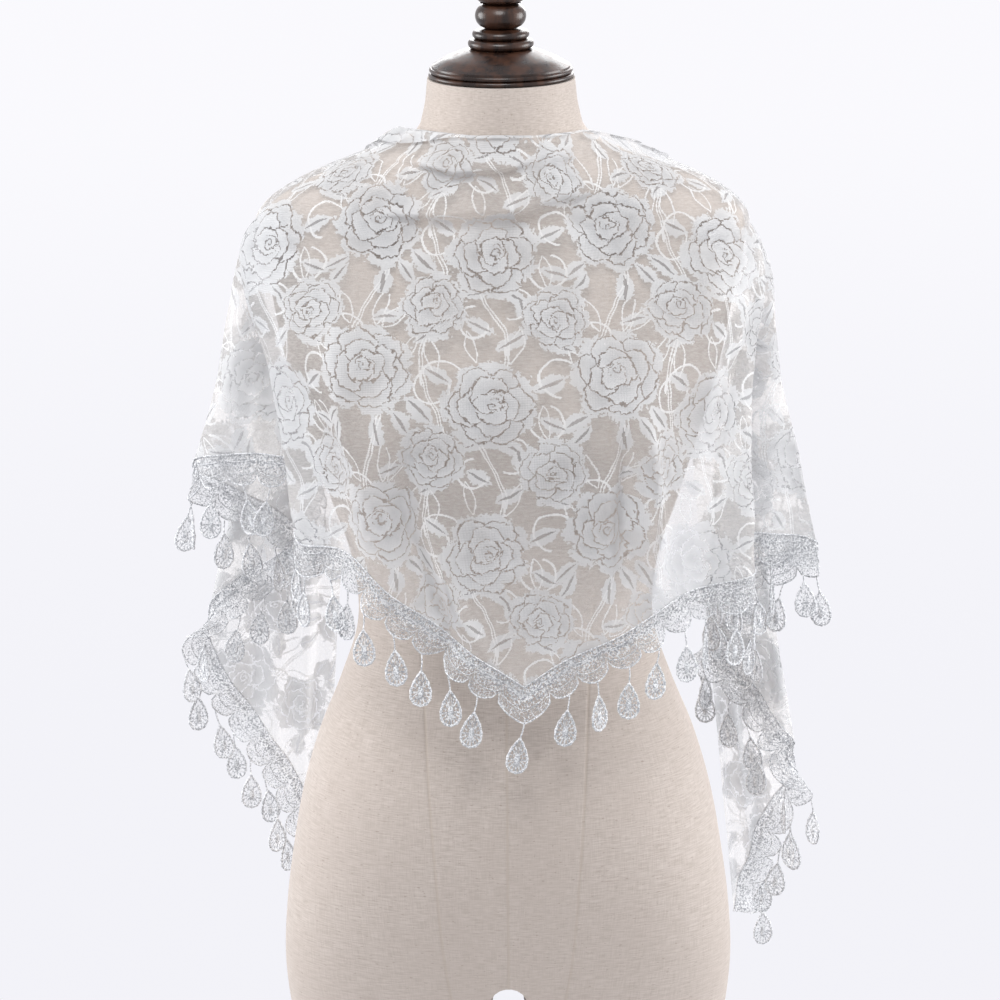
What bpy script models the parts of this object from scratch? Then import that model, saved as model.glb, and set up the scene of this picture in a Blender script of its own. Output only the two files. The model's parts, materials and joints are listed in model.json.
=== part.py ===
"""A triangular lace shawl with a scalloped, pendant-hung trim, worn point to the front on a dress form.

Metres, +Z up. The form faces -Y, +X is to the right of someone who looks at its front, and the origin is
the middle of the base's underside. The cloth is worked out from a table of strands. A strand is a straight
line of the flat triangle from its long edge (the neckline) to its hem: on the form it starts at the neck,
rolls over the shoulder or the bust at its brow, and then falls straight to the hem.
"""

import math

import bmesh
import bpy
import numpy as np
from mathutils import Vector
from mathutils.bvhtree import BVHTree

GAP = 0.0003  # between any two pieces that touch
HARD_EDGE = math.radians(40)  # turned and padded pieces are smooth but for edges sharper than this
LACE_EDGE = math.radians(60)  # a fold in the lace stays smooth up to this angle

# ---------------------------------------------------------------- stand
BASE_HEIGHT = 0.030
POLE_RADIUS = 0.0145
COLLAR_RADIUS = 0.030
COLLAR_HEIGHT = 0.034
BOARD_THICKNESS = 0.014
BOARD_INSET = 0.006
BOARD_EDGE = 0.003  # chamfer round the board
TURNED_SIDES = 32
POLE_SIDES = 28
# radius and height above the floor, from the foot up to the ring that the pole stands in
BASE_PROFILE = (
    (0.1610, 0.0000),
    (0.1650, 0.0040),
    (0.1650, 0.0100),
    (0.1610, 0.0135),
    (0.1500, 0.0150),
    (0.1250, 0.0175),
    (0.0900, 0.0205),
    (0.0550, 0.0240),
)
BASE_RING_RADIUS = 0.040
# radius and height above the collar's foot, between its lower and its upper ring
COLLAR_PROFILE = (
    (0.0185, 0.0100),
    (0.0200, 0.0180),
    (0.0265, 0.0245),
)
COLLAR_FOOT_RADIUS = 0.022
# of each bead: widest radius, foot and top above the foot of the piece, and the steps round it
COLLAR_BEADS = (
    (COLLAR_FOOT_RADIUS, 0.0005, 0.0065, 4),
    (COLLAR_RADIUS, 0.0270, 0.0335, 4),
)
BASE_BEADS = ((BASE_RING_RADIUS, 0.0245, BASE_HEIGHT - GAP, 4),)
RING_EDGE = 0.003  # how far the flat faces lie inside the rings beside them

# ---------------------------------------------------------------- neck cap and finial
CAP_SEAT = 0.0540
CAP_HEIGHT = 0.0222
CAP_BEADS = (
    (0.0566, 0.0002, 0.0038, 3),
    (0.0560, 0.0042, 0.0080, 3),
)
# radius and height above the seat, from the top of the rim to the foot of the finial
CAP_PROFILE = (
    (0.0540, 0.0095),
    (0.0480, 0.0135),
    (0.0380, 0.0178),
    (0.0262, CAP_HEIGHT),
)
FINIAL_FOOT = 0.0240
FINIAL_BEADS = (
    (0.0256, 0.0003, 0.0075, 4),
    (0.0222, 0.0078, 0.0145, 4),
    (0.0199, 0.0158, 0.0352, 7),
    (0.0184, 0.0362, 0.0438, 4),
)
# radius and height of the necks over the second and the third bead
FINIAL_NECKS = ((0.0172, 0.0152), (0.0163, 0.0358))
FINIAL_BUTTON = (
    (0.0150, 0.0446),
    (0.0152, 0.0475),
    (0.0110, 0.0510),
    (0.0040, 0.0525),
)

# ---------------------------------------------------------------- torso
TORSO_BOTTOM = 0.655
NECK_SEAT = 1.4705
TORSO_SIDES = 44
RING_STEP = 0.024
SHOULDER_STEP = 0.34  # of the ring step, over the shoulders
SHOULDER_SPAN = (1.33, 1.44)
# height, half width, depth to the front, depth to the back, squareness of the section
TORSO_SECTIONS = (
    (0.655, 0.1690, 0.0800, 0.0960, 2.35),
    (0.700, 0.1785, 0.0860, 0.1080, 2.35),
    (0.745, 0.1830, 0.0930, 0.1200, 2.35),
    (0.790, 0.1810, 0.1010, 0.1280, 2.35),
    (0.840, 0.1745, 0.1090, 0.1260, 2.30),
    (0.890, 0.1655, 0.1120, 0.1120, 2.25),
    (0.940, 0.1510, 0.1080, 0.0950, 2.20),
    (0.985, 0.1330, 0.0980, 0.0830, 2.15),
    (1.030, 0.1190, 0.0900, 0.0780, 2.10),
    (1.080, 0.1215, 0.0900, 0.0830, 2.15),
    (1.140, 0.1400, 0.0980, 0.0950, 2.20),
    (1.200, 0.1580, 0.1060, 0.1040, 2.30),
    (1.260, 0.1740, 0.1060, 0.1080, 2.45),
    (1.310, 0.1830, 0.0960, 0.1020, 2.60),
    (1.345, 0.1900, 0.0840, 0.0900, 2.60),
    (1.366, 0.1865, 0.0770, 0.0820, 2.50),
    (1.384, 0.1635, 0.0730, 0.0770, 2.35),
    (1.400, 0.1290, 0.0700, 0.0720, 2.20),
    (1.414, 0.0910, 0.0660, 0.0670, 2.05),
    (1.428, 0.0680, 0.0630, 0.0640, 2.00),
    (1.445, 0.0610, 0.0600, 0.0600, 2.00),
    (1.4705, 0.0575, 0.0575, 0.0575, 2.00),
)
BUST_ACROSS = 0.080  # from the middle to each bust point
BUST_HEIGHT = 1.214
BUST_DEPTH = 0.038
BUST_SPREAD_ACROSS = 0.044
BUST_SPREAD_UP = 0.050
CROTCH_HEIGHT = 0.742
NOTCH_TOP_RADIUS = 0.009
NOTCH_FOOT_HALF_WIDTH = 0.024
NOTCH_FLARE = 1.4  # how much wider the notch is at the front and back than in the middle
NOTCH_HALF_LENGTH = 0.130
NOTCH_OUTLINE = 9  # points round the arch
NOTCH_STATIONS = 7  # sections from front to back
NOTCH_UNDERCUT = 0.02  # how far the cutter reaches out of the foot

# ---------------------------------------------------------------- cloth
LACE_WALL = 0.0015
TRIM_WALL = 0.0012
HEM_GAP = 0.0009  # from the lace to the top of the band
CLEARANCE = 0.0058  # from the form to the middle of the lace
SEAM_GAP = 0.0006
CUTS_TO_BROW = 8  # along a strand, from the neck to where it leaves the form
CUTS_BELOW_BROW = 4
STRAND_SAMPLES = 48
HEM_SAMPLES = 801
CENTRE_STRAND = 10  # row of the strand that ends in the front point
# name, then where the strand starts at the neck, where it rolls over the form, and where it meets the hem
STRANDS = (
    ("left tip", (-0.1030, 0.0380, 1.4020), (-0.1100, 0.0830, 1.3500), (-0.1570, 0.1300, 0.7850)),
    ("left tail low", (-0.0985, 0.0280, 1.4110), (-0.1380, 0.0780, 1.3500), (-0.1700, 0.1150, 0.8430)),
    ("left tail ridge", (-0.0930, 0.0160, 1.4190), (-0.1700, 0.0600, 1.3520), (-0.2430, 0.0830, 1.0210)),
    ("left tail valley", (-0.0890, 0.0090, 1.4245), (-0.1860, 0.0400, 1.3540), (-0.1700, 0.0600, 1.0870)),
    ("left wing ridge", (-0.0845, 0.0020, 1.4285), (-0.1940, 0.0120, 1.3560), (-0.2525, 0.0050, 1.1630)),
    ("left wing valley", (-0.0800, -0.0040, 1.4315), (-0.1950, -0.0120, 1.3540), (-0.1500, -0.0300, 1.1660)),
    ("left front ridge", (-0.0750, -0.0100, 1.4335), (-0.1930, -0.0350, 1.3450), (-0.1590, -0.1000, 1.1230)),
    ("left arm", (-0.0660, -0.0240, 1.4345), (-0.1630, -0.0820, 1.3180), (-0.1285, -0.1180, 1.1235)),
    ("left bust", (-0.0450, -0.0500, 1.4360), (-0.0950, -0.1480, 1.2280), (-0.0830, -0.1420, 1.0895)),
    ("left breast", (-0.0220, -0.0640, 1.4360), (-0.0480, -0.1510, 1.2240), (-0.0400, -0.1440, 1.0570)),
    ("point", (0.0000, -0.0670, 1.4365), (0.0020, -0.1480, 1.2220), (0.0140, -0.1430, 1.0190)),
    ("right breast", (0.0220, -0.0640, 1.4355), (0.0520, -0.1510, 1.2240), (0.0370, -0.1440, 1.0340)),
    ("right bust", (0.0450, -0.0500, 1.4345), (0.0950, -0.1480, 1.2280), (0.0830, -0.1420, 1.0560)),
    ("right arm", (0.0700, -0.0190, 1.4310), (0.1600, -0.0820, 1.3200), (0.1460, -0.1180, 1.0880)),
    ("right front ridge", (0.0950, -0.0060, 1.4230), (0.1900, -0.0350, 1.3450), (0.1910, -0.1000, 1.0940)),
    ("right wing valley", (0.1080, -0.0020, 1.4160), (0.1930, -0.0120, 1.3520), (0.1650, -0.0250, 1.1080)),
    ("right wing ridge", (0.1140, 0.0020, 1.4130), (0.1930, 0.0120, 1.3540), (0.2525, 0.0080, 1.0900)),
    ("right hidden valley", (0.1170, 0.0050, 1.4110), (0.1880, 0.0320, 1.3540), (0.1680, 0.0380, 1.0550)),
    ("right hidden ridge", (0.1190, 0.0070, 1.4100), (0.1830, 0.0460, 1.3520), (0.2050, 0.0600, 1.0300)),
    ("right tail valley", (0.1215, 0.0120, 1.4065), (0.1760, 0.0560, 1.3510), (0.1700, 0.0980, 0.9960)),
    ("right tail ridge", (0.1245, 0.0190, 1.4020), (0.1640, 0.0660, 1.3500), (0.2430, 0.0820, 0.8860)),
    ("right tail low", (0.1275, 0.0290, 1.3960), (0.1490, 0.0750, 1.3490), (0.2130, 0.1250, 0.8110)),
    ("right tip", (0.1295, 0.0380, 1.3890), (0.1350, 0.0800, 1.3470), (0.1930, 0.1250, 0.7310)),
)
SCALLOPS = 34  # on each side, besides the one at the front point
# stretch, and the scallops that it runs between, counted from the front point, left of it negative
STRETCHES = (
    ("left_tail", -34.5, -17.5),
    ("left_wing", -17.5, -9.5),
    ("front", -9.5, 9.5),
    ("right_wing", 9.5, 15.5),
    ("right_tail", 15.5, 34.5),
)

# ---------------------------------------------------------------- trim
TRIM_VALLEY_DEPTH = 0.0160
TRIM_SHOULDER_DEPTH = 0.0225
TRIM_LOBE_DEPTH = 0.0260
TRIM_SHOULDER = 0.27  # of a scallop's width, from its middle
TRIM_SAG = 0.35  # how much the band leans from the line of the lace towards straight down
HEM_STEP = 0.3  # in scallops, to each side, over which the slope of the hem is taken
POINT_MITRE = 1.12  # the band is this much longer at the front point, where its two sides meet
COLUMNS_PER_SCALLOP = 5
SAME_PLACE = 1e-6  # in scallops
THREAD_WIDTH = 0.0018
THREAD_LENGTH = 0.0130
DROP_LENGTH = 0.0280
DROP_WIDTH = 0.0175
DROP_FULLNESS = 0.65
DROP_LIFT = 0.0040
DROP_CORNERS = 10
DROP_TURNS = (-0.2, 0.15, 0.3, 1.35, -0.3, 0.1, -0.25, 1.25, 0.2, -0.15, 0.4)  # from facing out, radians


DOWN = np.array([0.0, 0.0, -1.0])


# ================================================================ helpers
def clear_scene():
    for thing in list(bpy.data.objects):
        bpy.data.objects.remove(thing, do_unlink=True)


def material(name, colour, roughness, metallic=0.0):
    made = bpy.data.materials.new(name)
    made.use_nodes = True
    shader = made.node_tree.nodes["Principled BSDF"]
    shader.inputs["Base Color"].default_value = (*colour, 1.0)
    shader.inputs["Roughness"].default_value = roughness
    shader.inputs["Metallic"].default_value = metallic
    return made


def add_mesh(name, verts, faces, look):
    """An object from points and faces, with its normals made to agree."""
    mesh = bpy.data.meshes.new(name)
    mesh.from_pydata([tuple(map(float, v)) for v in verts], [], faces)
    shell = bmesh.new()
    shell.from_mesh(mesh)
    bmesh.ops.recalc_face_normals(shell, faces=shell.faces)
    shell.to_mesh(mesh)
    shell.free()
    mesh.materials.append(look)
    thing = bpy.data.objects.new(name, mesh)
    bpy.context.scene.collection.objects.link(thing)
    return thing


def hermite(knots, values, at):
    """The smooth curve through values at rising knots. Its slopes are those of the chords around each knot."""
    last = len(knots) - 1
    i = int(np.clip(np.searchsorted(knots, at, side="right") - 1, 0, last - 1))
    span = knots[i + 1] - knots[i]
    f = (at - knots[i]) / span

    def slope(k):
        if k == 0:
            return (values[1] - values[0]) / (knots[1] - knots[0])
        if k == last:
            return (values[last] - values[last - 1]) / (knots[last] - knots[last - 1])
        before = (values[k] - values[k - 1]) / (knots[k] - knots[k - 1])
        after = (values[k + 1] - values[k]) / (knots[k + 1] - knots[k])
        share = (knots[k] - knots[k - 1]) / (knots[k + 1] - knots[k - 1])
        return before * (1 - share) + after * share

    start = (2 * f**3 - 3 * f**2 + 1) * values[i] + (f**3 - 2 * f**2 + f) * span * slope(i)
    end = (3 * f**2 - 2 * f**3) * values[i + 1] + (f**3 - f**2) * span * slope(i + 1)
    return start + end


def lengths_along(points):
    steps = np.linalg.norm(np.diff(points, axis=0), axis=1)
    return np.concatenate([[0.0], np.cumsum(steps)])


def turned(name, profile, look, sides=TURNED_SIDES):
    """A solid turned about the z axis. The profile runs (radius, height) from the bottom up and ends on the axis."""
    verts = []
    faces = []
    for radius, height in profile:
        for k in range(sides):
            angle = 2 * math.pi * k / sides
            verts.append((radius * math.cos(angle), radius * math.sin(angle), height))
    for ring in range(len(profile) - 1):
        for k in range(sides):
            a = ring * sides + k
            b = ring * sides + (k + 1) % sides
            faces.append((a, b, b + sides, a + sides))
    faces.append(tuple(range(sides)))
    faces.append(tuple(range((len(profile) - 1) * sides, len(profile) * sides)))
    thing = add_mesh(name, verts, faces, look)
    thing.data.shade_smooth()
    thing.data.set_sharp_from_angle(angle=HARD_EDGE)
    return thing


def bead(radius, low, high, steps):
    """Half-round bead of a turning: its widest radius and its two heights."""
    half = (high - low) / 2
    for k in range(steps + 1):
        angle = -math.pi / 2 + math.pi * k / steps
        yield radius - half * (1 - math.cos(angle)), (low + high) / 2 + half * math.sin(angle)


def beads(table, foot):
    return [bead(radius, foot + low, foot + high, steps) for radius, low, high, steps in table]


def raised(profile, foot):
    """The profile with its heights counted from the floor instead of from its foot."""
    return [(radius, foot + height) for radius, height in profile]


# ================================================================ form
SECTION_ROWS = np.array(TORSO_SECTIONS)


def torso_section(height):
    return hermite(SECTION_ROWS[:, 0], SECTION_ROWS[:, 1:], height)


def torso_point(height, angle):
    """A point of the torso's skin. Angle 0 is the right side and a quarter turn on is the back."""
    half_width, front, back, square = torso_section(height)
    cosine = math.cos(angle)
    sine = math.sin(angle)
    x = half_width * math.copysign(abs(cosine) ** (2 / square), cosine)
    depth = back if sine > 0 else front
    y = depth * math.copysign(abs(sine) ** (2 / square), sine)
    if sine < 0:
        up = (height - BUST_HEIGHT) / BUST_SPREAD_UP
        for side in (-1, 1):
            across = (x - side * BUST_ACROSS) / BUST_SPREAD_ACROSS
            y -= BUST_DEPTH * abs(sine) ** 0.5 * math.exp(-(across**2 + up**2) / 2)
    return x, y, height


def torso_heights():
    """Ring heights: an even step, but closer over the shoulders, where the section changes fast."""
    heights = [TORSO_BOTTOM]
    while heights[-1] < NECK_SEAT - RING_STEP / 4:
        on_shoulder = SHOULDER_SPAN[0] < heights[-1] < SHOULDER_SPAN[1]
        heights.append(heights[-1] + RING_STEP * (SHOULDER_STEP if on_shoulder else 1.0))
    heights[-1] = NECK_SEAT
    return heights


def torso_mesh():
    verts = []
    faces = []
    heights = torso_heights()
    for height in heights:
        for k in range(TORSO_SIDES):
            verts.append(torso_point(height, 2 * math.pi * k / TORSO_SIDES))
    for ring in range(len(heights) - 1):
        for k in range(TORSO_SIDES):
            a = ring * TORSO_SIDES + k
            b = ring * TORSO_SIDES + (k + 1) % TORSO_SIDES
            faces.append((a, b, b + TORSO_SIDES, a + TORSO_SIDES))
    top = (len(heights) - 1) * TORSO_SIDES
    faces.append(tuple(range(TORSO_SIDES)))
    faces.append(tuple(range(top, top + TORSO_SIDES)))
    return verts, faces


def notch_cutter():
    """The space between the thighs: an arch that is narrowest midway from front to back."""
    verts = []
    outline = NOTCH_OUTLINE
    stations = NOTCH_STATIONS
    for j in range(stations):
        along = 2 * j / (stations - 1) - 1
        flare = 1 + NOTCH_FLARE * along**2
        foot = (NOTCH_FOOT_HALF_WIDTH * flare, TORSO_BOTTOM - NOTCH_UNDERCUT)
        section = [(-foot[0], foot[1])]
        for k in range(outline - 2):
            angle = math.pi * (1 - k / (outline - 3))
            radius = NOTCH_TOP_RADIUS * flare
            section.append((radius * math.cos(angle), CROTCH_HEIGHT - NOTCH_TOP_RADIUS + radius * math.sin(angle)))
        section.append(foot)
        verts += [(x, along * NOTCH_HALF_LENGTH, z) for x, z in section]
    faces = []
    for j in range(stations - 1):
        for k in range(outline):
            a = j * outline + k
            b = j * outline + (k + 1) % outline
            faces.append((a, b, b + outline, a + outline))
    faces.append(tuple(range(outline)))
    faces.append(tuple(range((stations - 1) * outline, stations * outline)))
    return verts, faces


def make_torso(linen):
    verts, faces = torso_mesh()
    torso = add_mesh("torso", verts, faces, linen)
    torso.data.shade_smooth()
    torso.data.set_sharp_from_angle(angle=HARD_EDGE)
    cutter = add_mesh("notch_cutter", *notch_cutter(), linen)
    cutter.hide_render = True
    cutter.display_type = "WIRE"
    cut = torso.modifiers.new("notch", "BOOLEAN")
    cut.operation = "DIFFERENCE"
    cut.object = cutter
    return torso


def make_neck_cap(walnut):
    """The turned cap on the neck. Gives back the height of its top."""
    seat = NECK_SEAT + GAP
    rim, lip = beads(CAP_BEADS, seat)
    turned("neck_cap", [(CAP_SEAT, seat), *rim, *lip, *raised(CAP_PROFILE, seat)], walnut)
    return seat + CAP_HEIGHT


def make_finial(walnut, cap_top):
    """Two rings, a ball, one more ring and a low button on top."""
    foot = cap_top + GAP
    first, second, ball, ring = beads(FINIAL_BEADS, foot)
    neck, collar = raised(FINIAL_NECKS, foot)
    profile = [(FINIAL_FOOT, foot), *first, *second, neck, *ball, collar, *ring, *raised(FINIAL_BUTTON, foot)]
    turned("finial", profile, walnut)


def make_bottom_board(walnut):
    """The board that closes both thighs, in the outline of the torso's foot drawn in a little."""
    top = TORSO_BOTTOM - GAP
    levels = (
        (top - BOARD_THICKNESS, BOARD_INSET + BOARD_EDGE),
        (top - BOARD_THICKNESS + BOARD_EDGE, BOARD_INSET),
        (top - BOARD_EDGE, BOARD_INSET),
        (top, BOARD_INSET + BOARD_EDGE),
    )
    verts = []
    faces = []
    for height, inset in levels:
        for k in range(TORSO_SIDES):
            x, y, _ = torso_point(TORSO_BOTTOM, 2 * math.pi * k / TORSO_SIDES)
            shrink = 1 - inset / math.hypot(x, y)
            verts.append((x * shrink, y * shrink, height))
    for ring in range(len(levels) - 1):
        for k in range(TORSO_SIDES):
            a = ring * TORSO_SIDES + k
            b = ring * TORSO_SIDES + (k + 1) % TORSO_SIDES
            faces.append((a, b, b + TORSO_SIDES, a + TORSO_SIDES))
    faces.append(tuple(range(TORSO_SIDES)))
    top_ring = (len(levels) - 1) * TORSO_SIDES
    faces.append(tuple(range(top_ring, top_ring + TORSO_SIDES)))
    add_mesh("bottom_board", verts, faces, walnut)


def make_stand(walnut, steel):
    board_foot = TORSO_BOTTOM - GAP - BOARD_THICKNESS
    collar_top = board_foot - GAP
    collar_foot = collar_top - COLLAR_HEIGHT
    foot_ring, top_ring = beads(COLLAR_BEADS, collar_foot)
    collar = [(COLLAR_FOOT_RADIUS - RING_EDGE, collar_foot), *foot_ring]
    collar += [*raised(COLLAR_PROFILE, collar_foot), *top_ring, (COLLAR_RADIUS - RING_EDGE, collar_top)]
    turned("pole_collar", collar, walnut)
    pole = [(POLE_RADIUS, BASE_HEIGHT + GAP), (POLE_RADIUS, collar_foot - GAP)]
    turned("pole", pole, steel, POLE_SIDES)
    ring = beads(BASE_BEADS, 0.0)[0]
    turned("stand_base", [*BASE_PROFILE, *ring, (BASE_RING_RADIUS - RING_EDGE, BASE_HEIGHT)], walnut)


# ================================================================ drape
ROWS = np.array([[*neck, *brow, *hem] for _, neck, brow, hem in STRANDS])
ROW_ALONG_HEM = lengths_along(ROWS[:, 6:9])
ROW_ALONG_HEM -= ROW_ALONG_HEM[CENTRE_STRAND]


def strand_ends(at):
    """Neck, brow and hem of the strand that meets the hem at this signed distance from the front point."""
    ends = hermite(ROW_ALONG_HEM, ROWS, at)
    # The hem has a corner at the point, so its height is smooth on each side only.
    side = slice(CENTRE_STRAND, None) if at >= 0 else slice(0, CENTRE_STRAND + 1)
    ends[8] = hermite(ROW_ALONG_HEM[side], ROWS[side, 8], at)
    return ends[0:3], ends[3:6], ends[6:9]


HEM_AT = np.linspace(ROW_ALONG_HEM[0], ROW_ALONG_HEM[-1], HEM_SAMPLES)
HEM_RUN = lengths_along(np.array([strand_ends(at)[2] for at in HEM_AT]))
HEM_RUN -= np.interp(0.0, HEM_AT, HEM_RUN)


def along_hem(scallop):
    """Where a scallop's place is in the table's own measure. Scallops are evenly spaced along the hem."""
    reach = HEM_RUN[-1] if scallop >= 0 else -HEM_RUN[0]
    return float(np.interp(scallop * reach / (SCALLOPS + 0.5), HEM_RUN, HEM_AT))


def strand_curve(at, skin, samples=STRAND_SAMPLES):
    """Points along one strand, kept clear of the skin of the form, and the share of its length at the brow."""
    neck, brow, hem = strand_ends(at)
    marks = np.array([neck, (neck + brow) / 2, brow, (brow + hem) / 2, hem])
    knots = lengths_along(marks)
    curve = np.array([hermite(knots, marks, knots[-1] * k / samples) for k in range(samples + 1)])
    for k, point in enumerate(curve):
        place, normal, _, _ = skin.find_nearest(Vector(point))
        if (Vector(point) - place).dot(normal) < CLEARANCE:
            curve[k] = np.array(place + normal * CLEARANCE)
    return curve, knots[2] / knots[-1]


def strand_stations(at, skin):
    """The strand as a few points, evenly spaced down to its brow and again from there to the hem."""
    curve, brow_share = strand_curve(at, skin)
    run = lengths_along(curve)
    shares = [brow_share * k / CUTS_TO_BROW for k in range(CUTS_TO_BROW)]
    shares += [brow_share + (1 - brow_share) * k / CUTS_BELOW_BROW for k in range(CUTS_BELOW_BROW + 1)]
    return [[np.interp(share * run[-1], run, curve[:, axis]) for axis in range(3)] for share in shares]


def scallop_marks():
    """Where the scallops meet along the whole hem, in scallops from the front point, and the point itself."""
    left = [-(SCALLOPS + 0.5) + k for k in range(SCALLOPS + 1)]
    return left + [0.0] + [-mark for mark in reversed(left)]


def shell(name, points, normals, faces, wall, look):
    """A closed wall around a sheet of faces, half of its thickness to each side of the sheet."""
    count = len(points)
    verts = [p + n * wall / 2 for p, n in zip(points, normals)]
    verts += [p - n * wall / 2 for p, n in zip(points, normals)]
    closed = list(faces) + [tuple(v + count for v in reversed(face)) for face in faces]
    edges = {(a, b) for face in faces for a, b in zip(face, face[1:] + face[:1])}
    closed += [(b, a, a + count, b + count) for a, b in sorted(edges) if (b, a) not in edges]
    return add_mesh(name, verts, closed, look)


def sheet_normals(points, faces):
    """One normal per point, midway between those of the faces around it."""
    total = np.zeros_like(points)
    for face in faces:
        corners = points[list(face)]
        total[list(face)] += unit(np.cross(corners[2] - corners[0], corners[3] - corners[1]))
    return total / np.linalg.norm(total, axis=1, keepdims=True)


def grid_faces(columns, rows):
    faces = []
    for i in range(columns - 1):
        for k in range(rows - 1):
            a = i * rows + k
            faces.append((a, a + 1, a + rows + 1, a + rows))
    return faces


def unit(vector):
    return np.asarray(vector) / np.linalg.norm(vector)


def part_the_seam(points, rows, edge, inner):
    """Moves one column of a grid square to itself, towards the column beside it, by half a seam gap."""
    own = points[edge * rows : (edge + 1) * rows]
    steps = points[inner * rows : (inner + 1) * rows] - own
    along = np.gradient(own, axis=0)
    along /= np.linalg.norm(along, axis=1, keepdims=True)
    across = steps - along * np.sum(steps * along, axis=1, keepdims=True)
    own += across / np.linalg.norm(across, axis=1, keepdims=True) * SEAM_GAP / 2


def stretch_of(points, normals, rows, first, last, parted):
    """The columns of one stretch, cut from the grid of the whole cloth, with its seams parted."""
    own = points[first * rows : (last + 1) * rows].copy()
    if parted[0]:
        part_the_seam(own, rows, 0, 1)
    if parted[1]:
        part_the_seam(own, rows, last - first, last - first - 1)
    return own, normals[first * rows : (last + 1) * rows]


def make_lace(grid, marks, look):
    columns, rows = grid.shape[:2]
    points = grid.reshape(-1, 3)
    normals = sheet_normals(points, grid_faces(columns, rows))
    for name, first, last in STRETCHES:
        i, j = marks.index(first), marks.index(last)
        own, own_normals = stretch_of(points, normals, rows, i, j, (i > 0, j < columns - 1))
        panel = shell("lace_" + name, own, own_normals, grid_faces(j - i + 1, rows), LACE_WALL, look)
        panel.data.shade_smooth()
        panel.data.set_sharp_from_angle(angle=LACE_EDGE)


# ================================================================ trim
def hem_tangent(scallop):
    """The direction of the hem from left to right."""
    side = 1.0 if scallop >= 0 else -1.0
    inner = strand_ends(along_hem(scallop - side * HEM_STEP if scallop else 0.0))[2]
    outer = strand_ends(along_hem(scallop + side * HEM_STEP if abs(scallop) < SCALLOPS else scallop))[2]
    return side * unit(outer - inner)


def square_to(tangent, vector):
    return vector - tangent * np.dot(tangent, vector)


def trim_direction(scallop, fall):
    """Which way the band leaves the hem: square to it in the cloth, and sagging with its own weight."""
    tangent = hem_tangent(scallop)
    return unit(unit(square_to(tangent, fall)) + TRIM_SAG * square_to(tangent, DOWN))


def band_columns(half_thread):
    """Places along the hem and the depth of the band's edge there, from the left tip to the right tip."""
    outline = (
        (-0.5, TRIM_VALLEY_DEPTH),
        (-TRIM_SHOULDER, TRIM_SHOULDER_DEPTH),
        (-half_thread, TRIM_LOBE_DEPTH),
        (half_thread, TRIM_LOBE_DEPTH),
        (TRIM_SHOULDER, TRIM_SHOULDER_DEPTH),
    )
    columns = []
    for middle in range(-SCALLOPS, SCALLOPS + 1):
        columns += [(middle + across, depth) for across, depth in outline]
    return columns + [(SCALLOPS + 0.5, TRIM_VALLEY_DEPTH)]


def make_trim(grid, marks, look):
    """The bands with their scallops, threads and drops, one closed piece for each stretch."""
    hem = grid[:, -1]
    away = [trim_direction(mark, column[-1] - column[-2]) for mark, column in zip(marks, grid)]
    point = marks.index(0.0)
    away[point] = unit(away[point - 1] + away[point + 1])
    away = np.array(away)
    chords = [unit(step) for step in np.diff(hem, axis=0)]
    longer = [POINT_MITRE if mark == 0.0 else 1.0 for mark in marks]
    half_thread = THREAD_WIDTH / 2 / (HEM_RUN[-1] / (SCALLOPS + 0.5))
    columns = band_columns(half_thread)
    points = []
    for place, depth in columns:
        edge = np.array([np.interp(place, marks, hem[:, axis]) for axis in range(3)])
        lean = unit([np.interp(place, marks, away[:, axis]) for axis in range(3)])
        near = [k for k in range(len(chords)) if marks[k] - SAME_PLACE <= place <= marks[k + 1] + SAME_PLACE]
        slant = min(np.linalg.norm(square_to(chords[k], lean)) for k in near)
        points += [edge + lean * HEM_GAP / slant, edge + lean * depth * np.interp(place, marks, longer)]
    points = np.array(points)
    normals = sheet_normals(points, grid_faces(len(columns), 2))
    places = [place for place, _ in columns]
    for name, first, last in STRETCHES:
        i, j = places.index(first), places.index(last)
        own, own_normals = stretch_of(points, normals, 2, i, j, (i > 0, j < len(columns) - 1))
        own, own_normals = list(own), list(own_normals)
        faces = grid_faces(j - i + 1, 2)
        for order in range((j - i) // COLUMNS_PER_SCALLOP):
            left_column = COLUMNS_PER_SCALLOP * order + 2
            scallop = i // COLUMNS_PER_SCALLOP + order - SCALLOPS
            steep = abs(hem_tangent(scallop)[2])
            turn = DROP_TURNS[(scallop + SCALLOPS) % len(DROP_TURNS)] * (1 - steep)
            lift = DROP_LIFT * steep * (1 if scallop % 2 else -1)
            add_drop(own, own_normals, faces, 2 * left_column + 1, turn, lift)
        shell("trim_" + name, own, own_normals, faces, TRIM_WALL, look)


def add_drop(points, normals, faces, low_left, turn, lift):
    """A thread and a teardrop that hang down from a scallop: the drop turned about the thread, and lifted
    off the plane of the band where the band is steep and the next scallop lies under it.
    """
    low_right = low_left + 2
    top = (points[low_left] + points[low_right]) / 2 + DOWN * THREAD_LENGTH
    top += unit(normals[low_left]) * lift
    across = points[low_right] - points[low_left]
    facing = math.atan2(across[1], across[0]) + turn
    sideways = np.array([math.cos(facing), math.sin(facing), 0.0])
    normal = np.cross(DOWN, sideways)
    foot = len(points)
    points.append(top - sideways * THREAD_WIDTH / 2)
    points.append(top + sideways * THREAD_WIDTH / 2)
    faces.append((low_left, foot, foot + 1, low_right))
    outline = [foot]
    for k in range(1, DROP_CORNERS):
        angle = 2 * math.pi * k / DROP_CORNERS
        outward = DROP_WIDTH * DROP_FULLNESS * math.sin(angle) * math.sin(angle / 2)
        fall = THREAD_WIDTH / 2 + DROP_LENGTH * (1 - math.cos(angle)) / 2
        outline.append(len(points))
        points.append(top - sideways * outward + DOWN * fall)
    outline.append(foot + 1)
    faces.append(tuple(outline))
    normals += [normal] * (len(points) - foot)


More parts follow.
